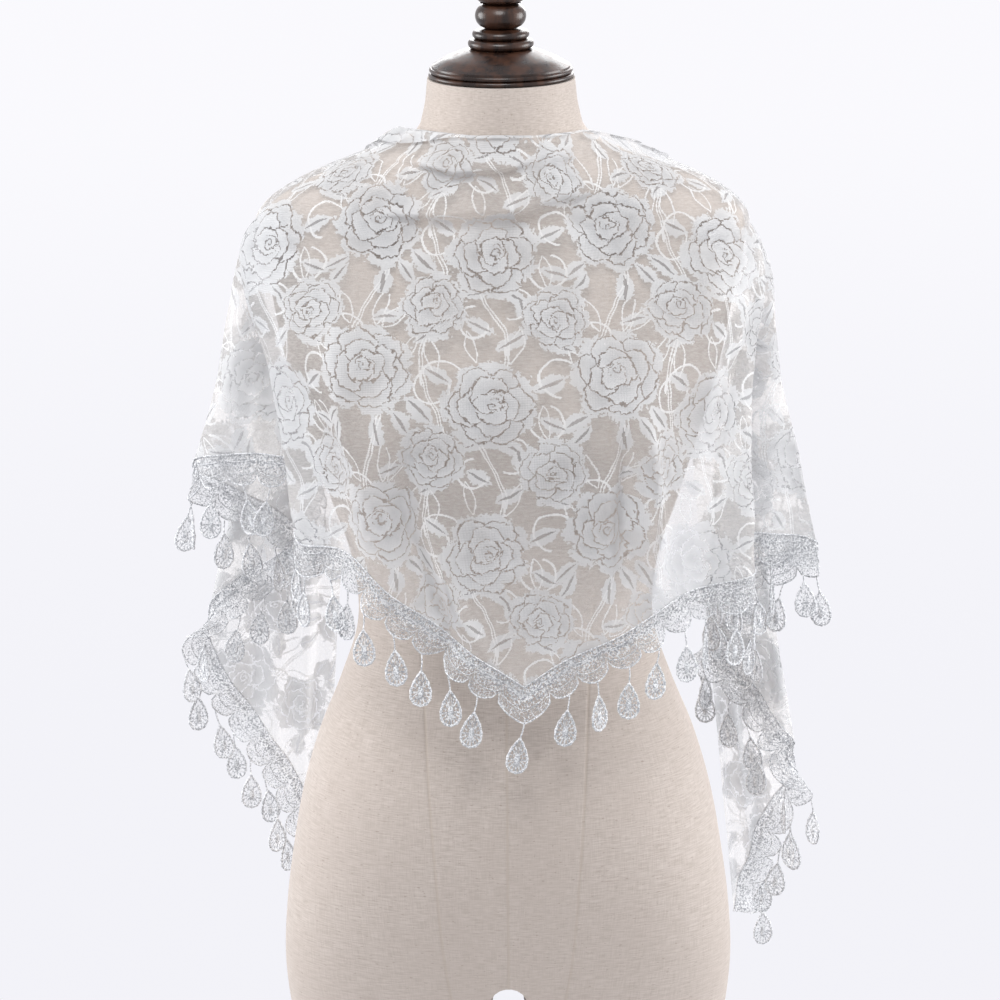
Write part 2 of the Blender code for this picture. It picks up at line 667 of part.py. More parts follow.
def main():
    clear_scene()
    linen = material("linen", (0.74, 0.67, 0.58), 0.85)
    walnut = material("dark walnut", (0.035, 0.018, 0.012), 0.35)
    steel = material("dark steel", (0.10, 0.10, 0.105), 0.35, 0.9)
    lace = material("silver lace", (0.75, 0.76, 0.78), 0.6)
    guipure = material("silver guipure", (0.60, 0.61, 0.64), 0.55)
    make_torso(linen)
    make_finial(walnut, make_neck_cap(walnut))
    make_bottom_board(walnut)
    make_stand(walnut, steel)
    skin = BVHTree.FromPolygons(*torso_mesh())
    marks = scallop_marks()
    grid = np.array([strand_stations(along_hem(mark), skin) for mark in marks])
    make_lace(grid, marks, lace)
    make_trim(grid, marks, guipure)


main()
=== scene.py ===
# %% [markdown]
# # A rose-lace shawl on a dress form
# The object is a triangle of silver-grey lace, edged with a scalloped guipure trim and teardrop pendants, and
# the linen dress form that wears it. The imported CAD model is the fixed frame: it says where each piece is and
# how big it may be. This lesson gives every piece the shape and the finish that the eye expects.
# All lengths are metres, +Z is up, and the form faces -Y.

# %% Load the frame
import json
import math
import random

import bmesh
import bpy
import numpy as np
from mathutils import Matrix, Vector, noise
from mathutils.bvhtree import BVHTree

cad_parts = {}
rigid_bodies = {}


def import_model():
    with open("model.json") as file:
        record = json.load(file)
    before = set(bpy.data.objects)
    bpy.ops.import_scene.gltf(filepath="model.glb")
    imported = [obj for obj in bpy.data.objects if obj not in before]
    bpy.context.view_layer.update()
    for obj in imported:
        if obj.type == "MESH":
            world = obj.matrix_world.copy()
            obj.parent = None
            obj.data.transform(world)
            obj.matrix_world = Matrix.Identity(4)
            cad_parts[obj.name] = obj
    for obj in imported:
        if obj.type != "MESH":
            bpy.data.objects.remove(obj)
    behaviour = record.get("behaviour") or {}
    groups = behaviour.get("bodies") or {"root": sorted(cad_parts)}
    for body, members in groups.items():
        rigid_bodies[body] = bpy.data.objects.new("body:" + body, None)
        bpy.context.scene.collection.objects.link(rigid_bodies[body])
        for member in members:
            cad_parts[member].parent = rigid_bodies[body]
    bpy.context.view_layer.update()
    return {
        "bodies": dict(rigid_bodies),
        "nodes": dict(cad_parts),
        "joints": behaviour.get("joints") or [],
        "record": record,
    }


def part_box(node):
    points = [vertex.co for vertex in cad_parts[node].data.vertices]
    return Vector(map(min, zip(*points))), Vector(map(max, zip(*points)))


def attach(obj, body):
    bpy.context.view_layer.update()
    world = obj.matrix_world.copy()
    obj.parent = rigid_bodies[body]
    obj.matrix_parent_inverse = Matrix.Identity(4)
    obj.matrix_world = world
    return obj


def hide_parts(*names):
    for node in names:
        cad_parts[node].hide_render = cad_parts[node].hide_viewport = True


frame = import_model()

BODY = "root"

# %% [markdown]
# ## The camera
# The camera stands in front of the form, a little above it, and looks down by fifteen degrees. A long lens
# keeps the shoulders and the hips at their true proportions. It leans by half a degree, as a hand-held one does.

# %% Camera
VIEW_TARGET = Vector((-0.0036, 0.0, 1.13))
VIEW_DISTANCE = 3.2
VIEW_ELEVATION = math.radians(15)
VIEW_ROLL = math.radians(-0.48)
LENS = 144.0  # millimetres, as the sensor's width is
SENSOR = 36.0

camera = bpy.data.objects.new("camera", bpy.data.cameras.new("camera"))
bpy.context.scene.collection.objects.link(camera)
camera.data.lens = LENS
camera.data.sensor_width = SENSOR
outward = Vector((0.0, -math.cos(VIEW_ELEVATION), math.sin(VIEW_ELEVATION)))
turned = (-outward).to_track_quat("-Z", "Y").to_matrix().to_4x4() @ Matrix.Rotation(VIEW_ROLL, 4, "Z")
camera.matrix_world = Matrix.Translation(VIEW_TARGET + outward * VIEW_DISTANCE) @ turned
bpy.context.scene.camera = camera
print("camera at", tuple(round(x, 3) for x in camera.matrix_world.translation))

# %% [markdown]
# ## Small helpers
# A finished piece is a mesh object at the origin. `finish_piece` links it, lets it ride on the one body and
# names the CAD nodes that it stands for.

# %% Helpers for pieces
def finish_piece(name, mesh, nodes, looks):
    piece = bpy.data.objects.new(name, mesh)
    bpy.context.scene.collection.objects.link(piece)
    for look in looks:
        mesh.materials.append(look)
    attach(piece, BODY)
    if nodes:
        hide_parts(*nodes)
    mesh.calc_loop_triangles()
    print(name, "stands for", nodes, "with", len(mesh.loop_triangles), "triangles")
    return piece


def mesh_from(shape, name, sharp=math.radians(40)):
    """The mesh of a bmesh, smooth but for its sharp edges."""
    mesh = bpy.data.meshes.new(name)
    shape.to_mesh(mesh)
    shape.free()
    mesh.shade_smooth()
    mesh.set_sharp_from_angle(angle=sharp)
    return mesh


# %% [markdown]
# ## Smooth curves
# Most shapes here are given by a few well-placed points. A Hermite spline runs through every point, and its slope
# at a point is that of the chords beside it, so the curve is smooth and doesn't swing out between the points.

# %% Curves
def unit(vector):
    return np.asarray(vector) / np.linalg.norm(vector)


def lengths_along(points):
    steps = np.linalg.norm(np.diff(points, axis=0), axis=1)
    return np.concatenate([[0.0], np.cumsum(steps)])


def hermite(knots, values, at):
    """The smooth curve through values at rising knots. Its slopes are those of the chords around each knot."""
    last = len(knots) - 1
    i = int(np.clip(np.searchsorted(knots, at, side="right") - 1, 0, last - 1))
    span = knots[i + 1] - knots[i]
    f = (at - knots[i]) / span

    def slope(k):
        if k == 0:
            return (values[1] - values[0]) / (knots[1] - knots[0])
        if k == last:
            return (values[last] - values[last - 1]) / (knots[last] - knots[last - 1])
        before = (values[k] - values[k - 1]) / (knots[k] - knots[k - 1])
        after = (values[k + 1] - values[k]) / (knots[k + 1] - knots[k])
        share = (knots[k] - knots[k - 1]) / (knots[k + 1] - knots[k - 1])
        return before * (1 - share) + after * share

    start = (2 * f**3 - 3 * f**2 + 1) * values[i] + (f**3 - 2 * f**2 + f) * span * slope(i)
    end = (3 * f**2 - 2 * f**3) * values[i + 1] + (f**3 - f**2) * span * slope(i + 1)
    return start + end


print("halfway from the second to the third of 0, 1 and 4:", hermite((0, 1, 2), (0.0, 1.0, 4.0), 1.5))

# %% [markdown]
# ## Recipes for materials
# A procedural material is a tree of nodes: noise, sums and blends that end in the shader's sockets. Written out
# link by link it is hard to read, so a `Recipe` adds a node for each call and hands back its output.

# %% Helper for materials
class Recipe:
    """One material's node tree. Its methods add a node and give back its output, so a pattern reads as a sum."""

    def __init__(self, name):
        self.material = bpy.data.materials.new(name)
        self.material.use_nodes = True
        self.tree = self.material.node_tree
        self.shader = self.tree.nodes["Principled BSDF"]

    def put(self, kind, values=(), **settings):
        node = self.tree.nodes.new("ShaderNode" + kind)
        for key, value in settings.items():
            setattr(node, key, value)
        for key, value in dict(values).items():
            self.feed(node.inputs[key], value)
        return node

    def feed(self, socket, value):
        if isinstance(value, bpy.types.NodeSocket):
            self.tree.links.new(value, socket)
        else:
            socket.default_value = value

    def math(self, operation, *values):
        return self.put("Math", enumerate(values), operation=operation).outputs[0]

    def vector(self, operation, *values):
        node = self.put("VectorMath", enumerate(values), operation=operation)
        return node.outputs["Value" if operation in ("LENGTH", "DISTANCE", "DOT_PRODUCT") else "Vector"]

    def coordinates(self):
        return self.put("TexCoord").outputs["Object"]

    def uv(self, name):
        return self.put("UVMap", uv_map=name).outputs["UV"]

    def stretched(self, vector, scale):
        return self.put("Mapping", {"Vector": vector, "Scale": scale}).outputs["Vector"]

    def noise(self, vector, scale, detail=2.0, roughness=0.5):
        values = {"Vector": vector, "Scale": scale, "Detail": detail, "Roughness": roughness}
        return self.put("TexNoise", values).outputs[0]

    def split(self, vector):
        return self.put("SeparateXYZ", {"Vector": vector}).outputs

    def between(self, value, low, high, to_low=0.0, to_high=1.0, smooth=True):
        """The value's place between low and high, spread over to_low and to_high."""
        kind = "SMOOTHSTEP" if smooth else "LINEAR"
        sockets = {"Value": value, 1: low, 2: high, 3: to_low, 4: to_high}
        return self.put("MapRange", sockets, interpolation_type=kind).outputs[0]

    def blend(self, share, first, second, mode="MIX"):
        """A mix of two colours. Colours are given as (red, green, blue)."""
        node = self.put("Mix", data_type="RGBA", blend_type=mode)
        for socket, value in zip((node.inputs[0], node.inputs[6], node.inputs[7]), (share, first, second)):
            self.feed(socket, (*value, 1.0) if isinstance(value, tuple) else value)
        return node.outputs[2]

    def bump(self, height, distance, strength=1.0):
        values = {"Height": height, "Distance": distance, "Strength": strength}
        self.feed(self.shader.inputs["Normal"], self.put("Bump", values).outputs["Normal"])

    def make_thin(self, share, colour, alpha):
        """Thin cloth: a share of the light from behind shines through it, and its holes are clear."""
        through = self.put("BsdfTranslucent", {"Color": colour})
        cloth = self.put("MixShader", {0: share, 1: self.shader.outputs[0], 2: through.outputs[0]})
        hole = self.put("BsdfTransparent")
        surface = self.put("MixShader", {0: alpha, 1: hole.outputs[0], 2: cloth.outputs[0]}).outputs[0]
        self.tree.links.new(surface, self.tree.nodes["Material Output"].inputs["Surface"])

    def set(self, **values):
        """Sets the shader's own sockets, named with _ for a space."""
        for key, value in values.items():
            value = (*value, 1.0) if isinstance(value, tuple) and len(value) == 3 else value
            self.feed(self.shader.inputs[key.replace("_", " ")], value)
        return self.material


def report(look):
    print(look.name, len(look.node_tree.nodes), "nodes")


# %% [markdown]
# ## Seams of the linen cover
# The cover is sewn from panels. Its seams are thin lines: one down the middle, and a curved princess seam over
# each hip, in front and behind. They could be cut into the mesh, but a line this thin needs very small faces, so
# the distance from the nearest seam is worked out in the material. It follows the form's own coordinates.

# %% Seams
SEAM_LINE = 0.0006  # half of a seam's width
SEAM_TOP = 1.36  # no seam shows above this
SEAM_DIP = 0.0022  # the cloth dips towards a seam from this far off
PRINCESS_SEAM = ((0.60, 0.020), (0.655, 0.024), (0.70, 0.036), (0.745, 0.047), (0.86, 0.058), (1.03, 0.067),
                 (1.21, 0.080), (1.40, 0.082))  # height, then distance from the middle


def princess_line(r, height):
    """How far from the middle the princess seam is at a height."""
    low, high = PRINCESS_SEAM[0][0], PRINCESS_SEAM[-1][0]
    curve = r.put("FloatCurve", {"Value": r.between(height, low, high, smooth=False)})
    points = curve.mapping.curves[0].points
    for k, (level, aside) in enumerate(PRINCESS_SEAM):
        place = ((level - low) / (high - low), aside)
        if 0 < k < len(PRINCESS_SEAM) - 1:
            points.new(*place)
        else:
            points[-1 if k else 0].location = place
    curve.mapping.update()
    return curve.outputs[0]


def seam_distance(r, place):
    """Metres from the nearest seam. Above the seams' top it is more than a metre."""
    x, _, z = r.split(place)
    across = r.math("ABSOLUTE", x)
    princess = r.math("ABSOLUTE", r.math("SUBTRACT", across, princess_line(r, z)))
    above_seams = r.math("GREATER_THAN", z, SEAM_TOP)
    return r.math("ADD", r.math("MINIMUM", princess, across), above_seams)


print("princess seam through", len(PRINCESS_SEAM), "points, up to", SEAM_TOP, "m")

# %% [markdown]
# ## Linen for the form
# The form is covered in unbleached linen. Real linen has a plain weave of uneven threads: here and there a
# thicker thread, a slub, runs a few millimetres and looks darker. Noise that is stretched along the threads
# gives both. The pattern follows a UV map that counts metres round and up the form, so it fits the sides and
# the back as well as the front.

# %% Linen
FORM_MAP = "round"
LINEN_THREADS = ((0.412, 0.355, 0.316), (0.572, 0.512, 0.472))  # in the gaps of the weave, and on top
LINEN_MOTTLE = (0.460, 0.399, 0.360)
LINEN_SLUB = (0.370, 0.305, 0.265)
LINEN_SPECK = (0.290, 0.232, 0.200)
LINEN_SEAM = (0.440, 0.370, 0.310)
LINEN_LOW_SHADE = (0.430, 0.375, 0.338)  # painted shade: the lower part of the form is a little darker
SLUB_SIZE = (42.0, 900.0, 1.0)
SPECK_SIZE = (220.0, 700.0, 1.0)


def linen_material():
    r = Recipe("linen")
    cloth = r.uv(FORM_MAP)
    weft = r.noise(r.stretched(cloth, (70.0, 1150.0, 1.0)), 1.0, 3.0, 0.6)
    warp = r.noise(r.stretched(cloth, (1150.0, 70.0, 1.0)), 1.0, 3.0, 0.6)
    weave = r.math("ADD", weft, r.math("MULTIPLY_ADD", warp, 0.5, 0.25))
    slub = r.between(r.noise(r.stretched(cloth, SLUB_SIZE), 1.0, 1.0, 0.3), 0.70, 0.78)
    speck = r.between(r.noise(r.stretched(cloth, SPECK_SIZE), 1.0, 0.0), 0.745, 0.80)
    mottle = r.noise(cloth, 9.0, 3.0, 0.6)
    base = r.blend(r.between(weave, 0.75, 1.25), *LINEN_THREADS)
    base = r.blend(r.between(mottle, 0.35, 0.65, 0.0, 0.35), base, LINEN_MOTTLE)
    base = r.blend(r.math("MULTIPLY", slub, 0.62), base, LINEN_SLUB)
    base = r.blend(r.math("MULTIPLY", speck, 0.55), base, LINEN_SPECK)
    place = r.coordinates()
    nearest = seam_distance(r, place)
    seam = r.between(nearest, SEAM_LINE, SEAM_LINE * 2.4, 1.0, 0.0)
    base = r.blend(r.math("MULTIPLY", seam, 0.40), base, LINEN_SEAM)
    # painted shade: the linen darkens a little towards the bottom of the form
    wear_and_shade = r.between(r.split(place)[2], 0.60, 1.05, 0.30, 0.0)
    base = r.blend(wear_and_shade, base, LINEN_LOW_SHADE)
    dip = r.between(nearest, 0.0, SEAM_DIP, -1.0, 0.0)
    r.bump(r.math("ADD", r.math("MULTIPLY", weave, 0.35), dip), 0.0006, 0.6)
    return r.set(Base_Color=base, Roughness=0.88, Specular_IOR_Level=0.25, Sheen_Weight=0.12,
                 Sheen_Roughness=0.5)


LINEN = linen_material()
report(LINEN)

# %% [markdown]
# ## The torso
# The form's body is a limbless torso: hips, waist, bust, sloping shoulders and a short neck. Each level is a
# rounded section with its own width and its own depth to the front and to the back. A ring of points is shaped
# to one level and then extruded up to the next, as a coil pot is built. The two bust points are pushed out of
# the front. An arch between the thighs is cut last.

# %% Torso sections
TORSO_LOW = 0.655
NECK_SEAT = 1.4705
# height, half width, depth to the front, depth to the back, squareness of the section
TORSO_SECTIONS = np.array((
    (0.655, 0.1690, 0.0800, 0.0960, 2.35),
    (0.700, 0.1785, 0.0860, 0.1080, 2.35),
    (0.745, 0.1830, 0.0930, 0.1200, 2.35),
    (0.790, 0.1810, 0.1010, 0.1280, 2.35),
    (0.840, 0.1745, 0.1090, 0.1260, 2.30),
    (0.890, 0.1655, 0.1120, 0.1120, 2.25),
    (0.940, 0.1510, 0.1080, 0.0950, 2.20),
    (0.985, 0.1330, 0.0980, 0.0830, 2.15),
    (1.030, 0.1190, 0.0900, 0.0780, 2.10),
    (1.080, 0.1215, 0.0900, 0.0830, 2.15),
    (1.140, 0.1400, 0.0980, 0.0950, 2.20),
    (1.200, 0.1580, 0.1060, 0.1040, 2.30),
    (1.260, 0.1740, 0.1060, 0.1080, 2.45),
    (1.310, 0.1830, 0.0960, 0.1020, 2.60),
    (1.345, 0.1900, 0.0840, 0.0900, 2.60),
    (1.366, 0.1865, 0.0770, 0.0820, 2.50),
    (1.384, 0.1635, 0.0730, 0.0770, 2.35),
    (1.400, 0.1290, 0.0700, 0.0720, 2.20),
    (1.414, 0.0910, 0.0660, 0.0670, 2.05),
    (1.428, 0.0680, 0.0630, 0.0640, 2.00),
    (1.445, 0.0610, 0.0600, 0.0600, 2.00),
    (1.4705, 0.0575, 0.0575, 0.0575, 2.00),
))
BUST_ACROSS = 0.080
BUST_HEIGHT = 1.214
BUST_DEPTH = 0.038
BUST_SPREAD = (0.044, 0.050)  # across, up


def torso_point(height, angle):
    """A point of the torso's skin. Angle 0 is the right side and a quarter turn on is the back."""
    half_width, front, back, square = hermite(TORSO_SECTIONS[:, 0], TORSO_SECTIONS[:, 1:], height)
    cosine, sine = math.cos(angle), math.sin(angle)
    x = half_width * math.copysign(abs(cosine) ** (2 / square), cosine)
    y = (back if sine > 0 else front) * math.copysign(abs(sine) ** (2 / square), sine)
    if sine < 0:
        up = (height - BUST_HEIGHT) / BUST_SPREAD[1]
        for side in (-1, 1):
            across = (x - side * BUST_ACROSS) / BUST_SPREAD[0]
            y -= BUST_DEPTH * abs(sine) ** 0.5 * math.exp(-(across**2 + up**2) / 2)
    return Vector((x, y, height))


print("hips", round(2 * TORSO_SECTIONS[2, 1], 3), "m wide, waist", round(2 * TORSO_SECTIONS[8, 1], 3), "m")

# %% [markdown]
# ## Extruding the torso
# The torso and the space between its thighs are both tubes: a ring of edges is extruded, its new points are put
# in place, and so on to the far end. `tube` does that for any rule that says where a point goes.

# %% Torso and notch
TORSO_SIDES = 128
TORSO_STEP = 0.006
NOTCH_TOP = 0.742
NOTCH_TOP_RADIUS = 0.009
NOTCH_FOOT = 0.024
NOTCH_FLARE = 1.4
NOTCH_REACH = 0.130
NOTCH_SIDES = 20
NOTCH_STATIONS = 13
NOTCH_BELOW = 0.02  # how far the cutter reaches out of the torso's underside


def tube(sides, stations, point_of):
    """A closed tube: a ring for each station, each extruded from the one before. The rule places each point."""
    shape = bmesh.new()
    ring = bmesh.ops.create_circle(shape, cap_ends=False, segments=sides, radius=1.0)["verts"]
    edges = list(shape.edges)
    bmesh.ops.contextual_create(shape, geom=edges)
    for station in range(stations):
        if station:
            made = bmesh.ops.extrude_edge_only(shape, edges=edges)["geom"]
            edges = [part for part in made if isinstance(part, bmesh.types.BMEdge)]
            ring = [part for part in made if isinstance(part, bmesh.types.BMVert)]
        for k, vert in enumerate(ring):
            vert.co = point_of(station, k)
    bmesh.ops.contextual_create(shape, geom=edges)
    bmesh.ops.recalc_face_normals(shape, faces=shape.faces)
    return shape


def torso_shape():
    count = round((NECK_SEAT - TORSO_LOW) / TORSO_STEP)

    def point_of(level, k):
        height = TORSO_LOW + (NECK_SEAT - TORSO_LOW) * level / count
        return torso_point(height, 2 * math.pi * k / TORSO_SIDES)

    return tube(TORSO_SIDES, count + 1, point_of)


def notch_point(station, k):
    """A point of the space between the thighs: an arch that is narrowest midway from front to back."""
    along = 2 * station / (NOTCH_STATIONS - 1) - 1
    flare = 1 + NOTCH_FLARE * along**2
    angle = 2 * math.pi * (k + 0.5) / NOTCH_SIDES
    radius = NOTCH_TOP_RADIUS * flare
    across, up = radius * math.cos(angle), radius * math.sin(angle)
    if up < 0:
        across = math.copysign(NOTCH_FOOT * flare, across) * (1 if abs(across) > radius / 2 else 0.5)
        up = TORSO_LOW - NOTCH_BELOW - (NOTCH_TOP - NOTCH_TOP_RADIUS)
    return across, along * NOTCH_REACH, NOTCH_TOP - NOTCH_TOP_RADIUS + up


TORSO_SHARP = math.radians(38)
torso_whole = mesh_from(torso_shape(), "torso_whole")
notch = mesh_from(tube(NOTCH_SIDES, NOTCH_STATIONS, notch_point), "notch")
# The faces come out in another order each run, so they are sorted: the nearest of two at an edge is then fixed.
skin_faces = sorted(list(face.vertices) for face in torso_whole.polygons)
skin = BVHTree.FromPolygons([vert.co for vert in torso_whole.vertices], skin_faces)
print("torso", len(torso_whole.polygons), "faces, notch", len(notch.polygons), "faces")

# %% [markdown]
# ## Cutting and mapping the torso
# A boolean takes the notch out. Then each face gets a UV map in metres: how far round the form it is, and how
# high. Where the map wraps behind the back, one side's turns are carried on past a full turn, so that no face is
# stretched right across the map.

# %% Torso
FORM_RADIUS = 0.155  # a mean one, that turns an angle into metres round the form


def cut_away(mesh, cutter_mesh):
    """The mesh with the cutter's space taken out of it."""
    body = bpy.data.objects.new("body", mesh)
    cutter = bpy.data.objects.new("cutter", cutter_mesh)
    for thing in (body, cutter):
        bpy.context.scene.collection.objects.link(thing)
    cut = body.modifiers.new("cut", "BOOLEAN")
    cut.operation = "DIFFERENCE"
    cut.object = cutter
    bpy.context.view_layer.update()
    result = bpy.data.meshes.new_from_object(body.evaluated_get(bpy.context.evaluated_depsgraph_get()))
    for thing in (body, cutter):
        bpy.data.objects.remove(thing)
    return result


def map_round(mesh):
    """A UV map in metres: how far round the form from the middle of the front, and how high."""
    layer = mesh.uv_layers.new(name=FORM_MAP)
    for face in mesh.polygons:
        turns = [math.atan2(mesh.vertices[v].co.x, -mesh.vertices[v].co.y) for v in face.vertices]
        if max(turns) - min(turns) > math.pi:
            turns = [turn + 2 * math.pi if turn < 0 else turn for turn in turns]
        for loop, vertex, turn in zip(face.loop_indices, face.vertices, turns):
            layer.data[loop].uv = (turn * FORM_RADIUS, mesh.vertices[vertex].co.z)


torso_mesh = cut_away(torso_whole, notch)
torso_mesh.name = "linen_torso"
torso_mesh.shade_smooth()
torso_mesh.set_sharp_from_angle(angle=TORSO_SHARP)
map_round(torso_mesh)
torso = finish_piece("linen_torso", torso_mesh, ["torso"], [LINEN])

# %% [markdown]
# ## Walnut and steel
# Cap, finial, board and base are of a dark, almost black wood with a polished coat. Its rings are noise that is
# drawn out along the height, and its pores are finer noise. The steel of collar and pole is brushed, so its
# noise is drawn out much further, and it is worn darker in places.

# %% Walnut and steel
WALNUT_GRAIN = ((0.0125, 0.0062, 0.0046), (0.046, 0.0190, 0.0105))  # the dark rings, and the wood between them
WALNUT_PORE = (0.006, 0.0035, 0.003)
STEEL_BRUSHED = ((0.075, 0.075, 0.080), (0.140, 0.140, 0.147))
STEEL_WORN = (0.055, 0.052, 0.050)


def walnut_material():
    r = Recipe("walnut")
    place = r.coordinates()
    rings = r.noise(r.stretched(place, (60.0, 60.0, 9.0)), 2.0, 6.0, 0.62)
    pores = r.noise(r.stretched(place, (900.0, 900.0, 60.0)), 1.0, 2.0, 0.5)
    grain = r.between(rings, 0.38, 0.62)
    base = r.blend(grain, *WALNUT_GRAIN)
    base = r.blend(r.between(pores, 0.60, 0.72, 0.0, 0.7), base, WALNUT_PORE)
    rough = r.between(rings, 0.3, 0.7, 0.26, 0.42)
    r.bump(r.math("ADD", r.math("MULTIPLY", rings, 0.5), pores), 0.0004, 0.25)
    return r.set(Base_Color=base, Roughness=rough, Specular_IOR_Level=0.28, Coat_Weight=0.16, Coat_Roughness=0.16)


def steel_material():
    r = Recipe("dark_steel")
    place = r.coordinates()
    brushed = r.noise(r.stretched(place, (900.0, 900.0, 14.0)), 1.0, 3.0, 0.6)
    wear_and_shade = r.noise(place, 14.0, 4.0, 0.6)
    base = r.blend(r.between(brushed, 0.35, 0.65), *STEEL_BRUSHED)
    base = r.blend(r.between(wear_and_shade, 0.55, 0.75, 0.0, 0.3), base, STEEL_WORN)
    rough = r.between(r.math("ADD", brushed, wear_and_shade), 0.7, 1.3, 0.28, 0.46)
    r.bump(brushed, 0.0002, 0.3)
    return r.set(Base_Color=base, Roughness=rough, Metallic=0.9)


WALNUT = walnut_material()
STEEL = steel_material()
report(WALNUT)
report(STEEL)

# %% [markdown]
# ## Turning on a lathe
# The neck cap and its finial are turned on a lathe. A lathe leaves round shapes only, so each is a profile that
# is spun about the middle. The same goes for the collar, the pole and the base of the stand. Beads are half
# circles in the profile.

# %% Spinning a profile
TURNED_STEPS = 72


def bead(radius, low, high, steps=10):
    """Half-round bead of a turning: its widest radius and its two heights."""
    half = (high - low) / 2
    for k in range(steps + 1):
        angle = -math.pi / 2 + math.pi * k / steps
        yield radius - half * (1 - math.cos(angle)), (low + high) / 2 + half * math.sin(angle)


def spun(name, profile, look, sharp=32):
    """A solid of revolution. The profile runs (radius, height) from the bottom up, and both ends are closed."""
    shape = bmesh.new()
    low, high = profile[0][1], profile[-1][1]
    points = [(0.0, low), *profile, (0.0, high)]
    verts = [shape.verts.new((radius, 0.0, height)) for radius, height in points]
    edges = [shape.edges.new(pair) for pair in zip(verts, verts[1:])]
    bmesh.ops.spin(shape, geom=verts + edges, axis=(0, 0, 1), cent=(0, 0, 0), angle=2 * math.pi,
                   steps=TURNED_STEPS, use_merge=True)
    bmesh.ops.remove_doubles(shape, verts=shape.verts, dist=1e-6)
    bmesh.ops.recalc_face_normals(shape, faces=shape.faces)
    mesh = mesh_from(shape, "turned_" + name, math.radians(sharp))
    return finish_piece("turned_" + name, mesh, [name], [look])


def heights(node):
    """The lowest and the highest point of a CAD node."""
    low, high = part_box(node)
    return low[2], high[2]


print("one bead:", [tuple(round(x, 4) for x in point) for point in bead(0.0100, 0.0, 0.0040, 4)])

# %% [markdown]
# ## Cap and finial
# The cap is a shallow cone on two beads. The finial is a stack: two rings, a ball, one more ring and a flat top
# knob. Each profile starts where the CAD node starts, so the turned pieces sit where the solid ones do.

# %% Cap and finial
CAP_RIM = 0.0560
CAP_SHOULDER = (0.0480, 0.0130)  # radius and height where the cone starts
CAP_NARROWS = 0.0218
CONE_STEPS = 8
CONE_CURVE = 0.82
cap_low, cap_high = heights("neck_cap")
profile = [(0.0540, cap_low), *bead(CAP_RIM + 0.0006, cap_low + 0.0002, cap_low + 0.0038)]
profile += [*bead(CAP_RIM, cap_low + 0.0042, cap_low + 0.0080), (0.0540, cap_low + 0.0095)]
cone_radius, cone_low = CAP_SHOULDER[0], cap_low + CAP_SHOULDER[1]
for k in range(CONE_STEPS + 1):
    share = k / CONE_STEPS
    profile.append((cone_radius - CAP_NARROWS * share, cone_low + (cap_high - cone_low) * share**CONE_CURVE))
spun("neck_cap", profile, WALNUT)

foot = heights("finial")[0]
profile = [(0.0240, foot), *bead(0.0256, foot + 0.0003, foot + 0.0075), *bead(0.0222, foot + 0.0078, foot + 0.0145)]
profile += [(0.0172, foot + 0.0152), *bead(0.0199, foot + 0.0158, foot + 0.0352, 18), (0.0163, foot + 0.0358)]
profile += [*bead(0.0184, foot + 0.0362, foot + 0.0438), (0.0150, foot + 0.0446), (0.0152, foot + 0.0475)]
profile += [(0.0136, foot + 0.0495), (0.0110, foot + 0.0510), (0.0075, foot + 0.0520), (0.0040, foot + 0.0525)]
spun("finial", profile, WALNUT)

# %% [markdown]
# ## The stand
# A dark board closes the thighs and takes the collar of the pole. Collar and pole are plain dark steel, and the
# pole stands in a wide turned base. All of it is below what the camera sees, so it is kept plain, but whole.

# %% Stand
COLLAR_RADIUS = 0.030
POLE_CHAMFER = 0.0006
collar_low, collar_high = heights("pole_collar")
profile = [(0.0190, collar_low), *bead(0.0220, collar_low + 0.0005, collar_low + 0.0065)]
profile += [(0.0185, collar_low + 0.010), (0.0188, collar_low + 0.014), (0.0200, collar_low + 0.018)]
profile += [(0.0228, collar_high - 0.0125), (0.0265, collar_high - 0.0095)]
profile += [*bead(COLLAR_RADIUS, collar_high - 0.0070, collar_high - 0.0005), (COLLAR_RADIUS - 0.002, collar_high)]
spun("pole_collar", profile, STEEL)

pole_low, pole_high = heights("pole")
pole_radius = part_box("pole")[1][0]
profile = [(pole_radius - POLE_CHAMFER, pole_low), (pole_radius, pole_low + POLE_CHAMFER)]
profile += [(pole_radius, pole_high - POLE_CHAMFER), (pole_radius - POLE_CHAMFER, pole_high)]
spun("pole", profile, STEEL)

base_radius, _, base_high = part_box("stand_base")[1]
profile = [(base_radius - 0.004, 0.0), (base_radius - 0.0012, 0.0010), (base_radius, 0.0040), (base_radius, 0.0100)]
profile += [(base_radius - 0.0012, 0.0125), (base_radius - 0.0040, 0.0135), (0.1500, 0.0150), (0.1250, 0.0175)]
profile += [(0.0900, 0.0205), (0.0550, 0.0240), *bead(0.0400, 0.0245, base_high - 0.0003), (0.0370, base_high)]
spun("stand_base", profile, WALNUT)

# %% [markdown]
# ## The board under the thighs
# The board has the torso's own outline, a few millimetres smaller. It is a disc of points that is put on that
# outline, raised to the board's thickness and rounded along both rims.

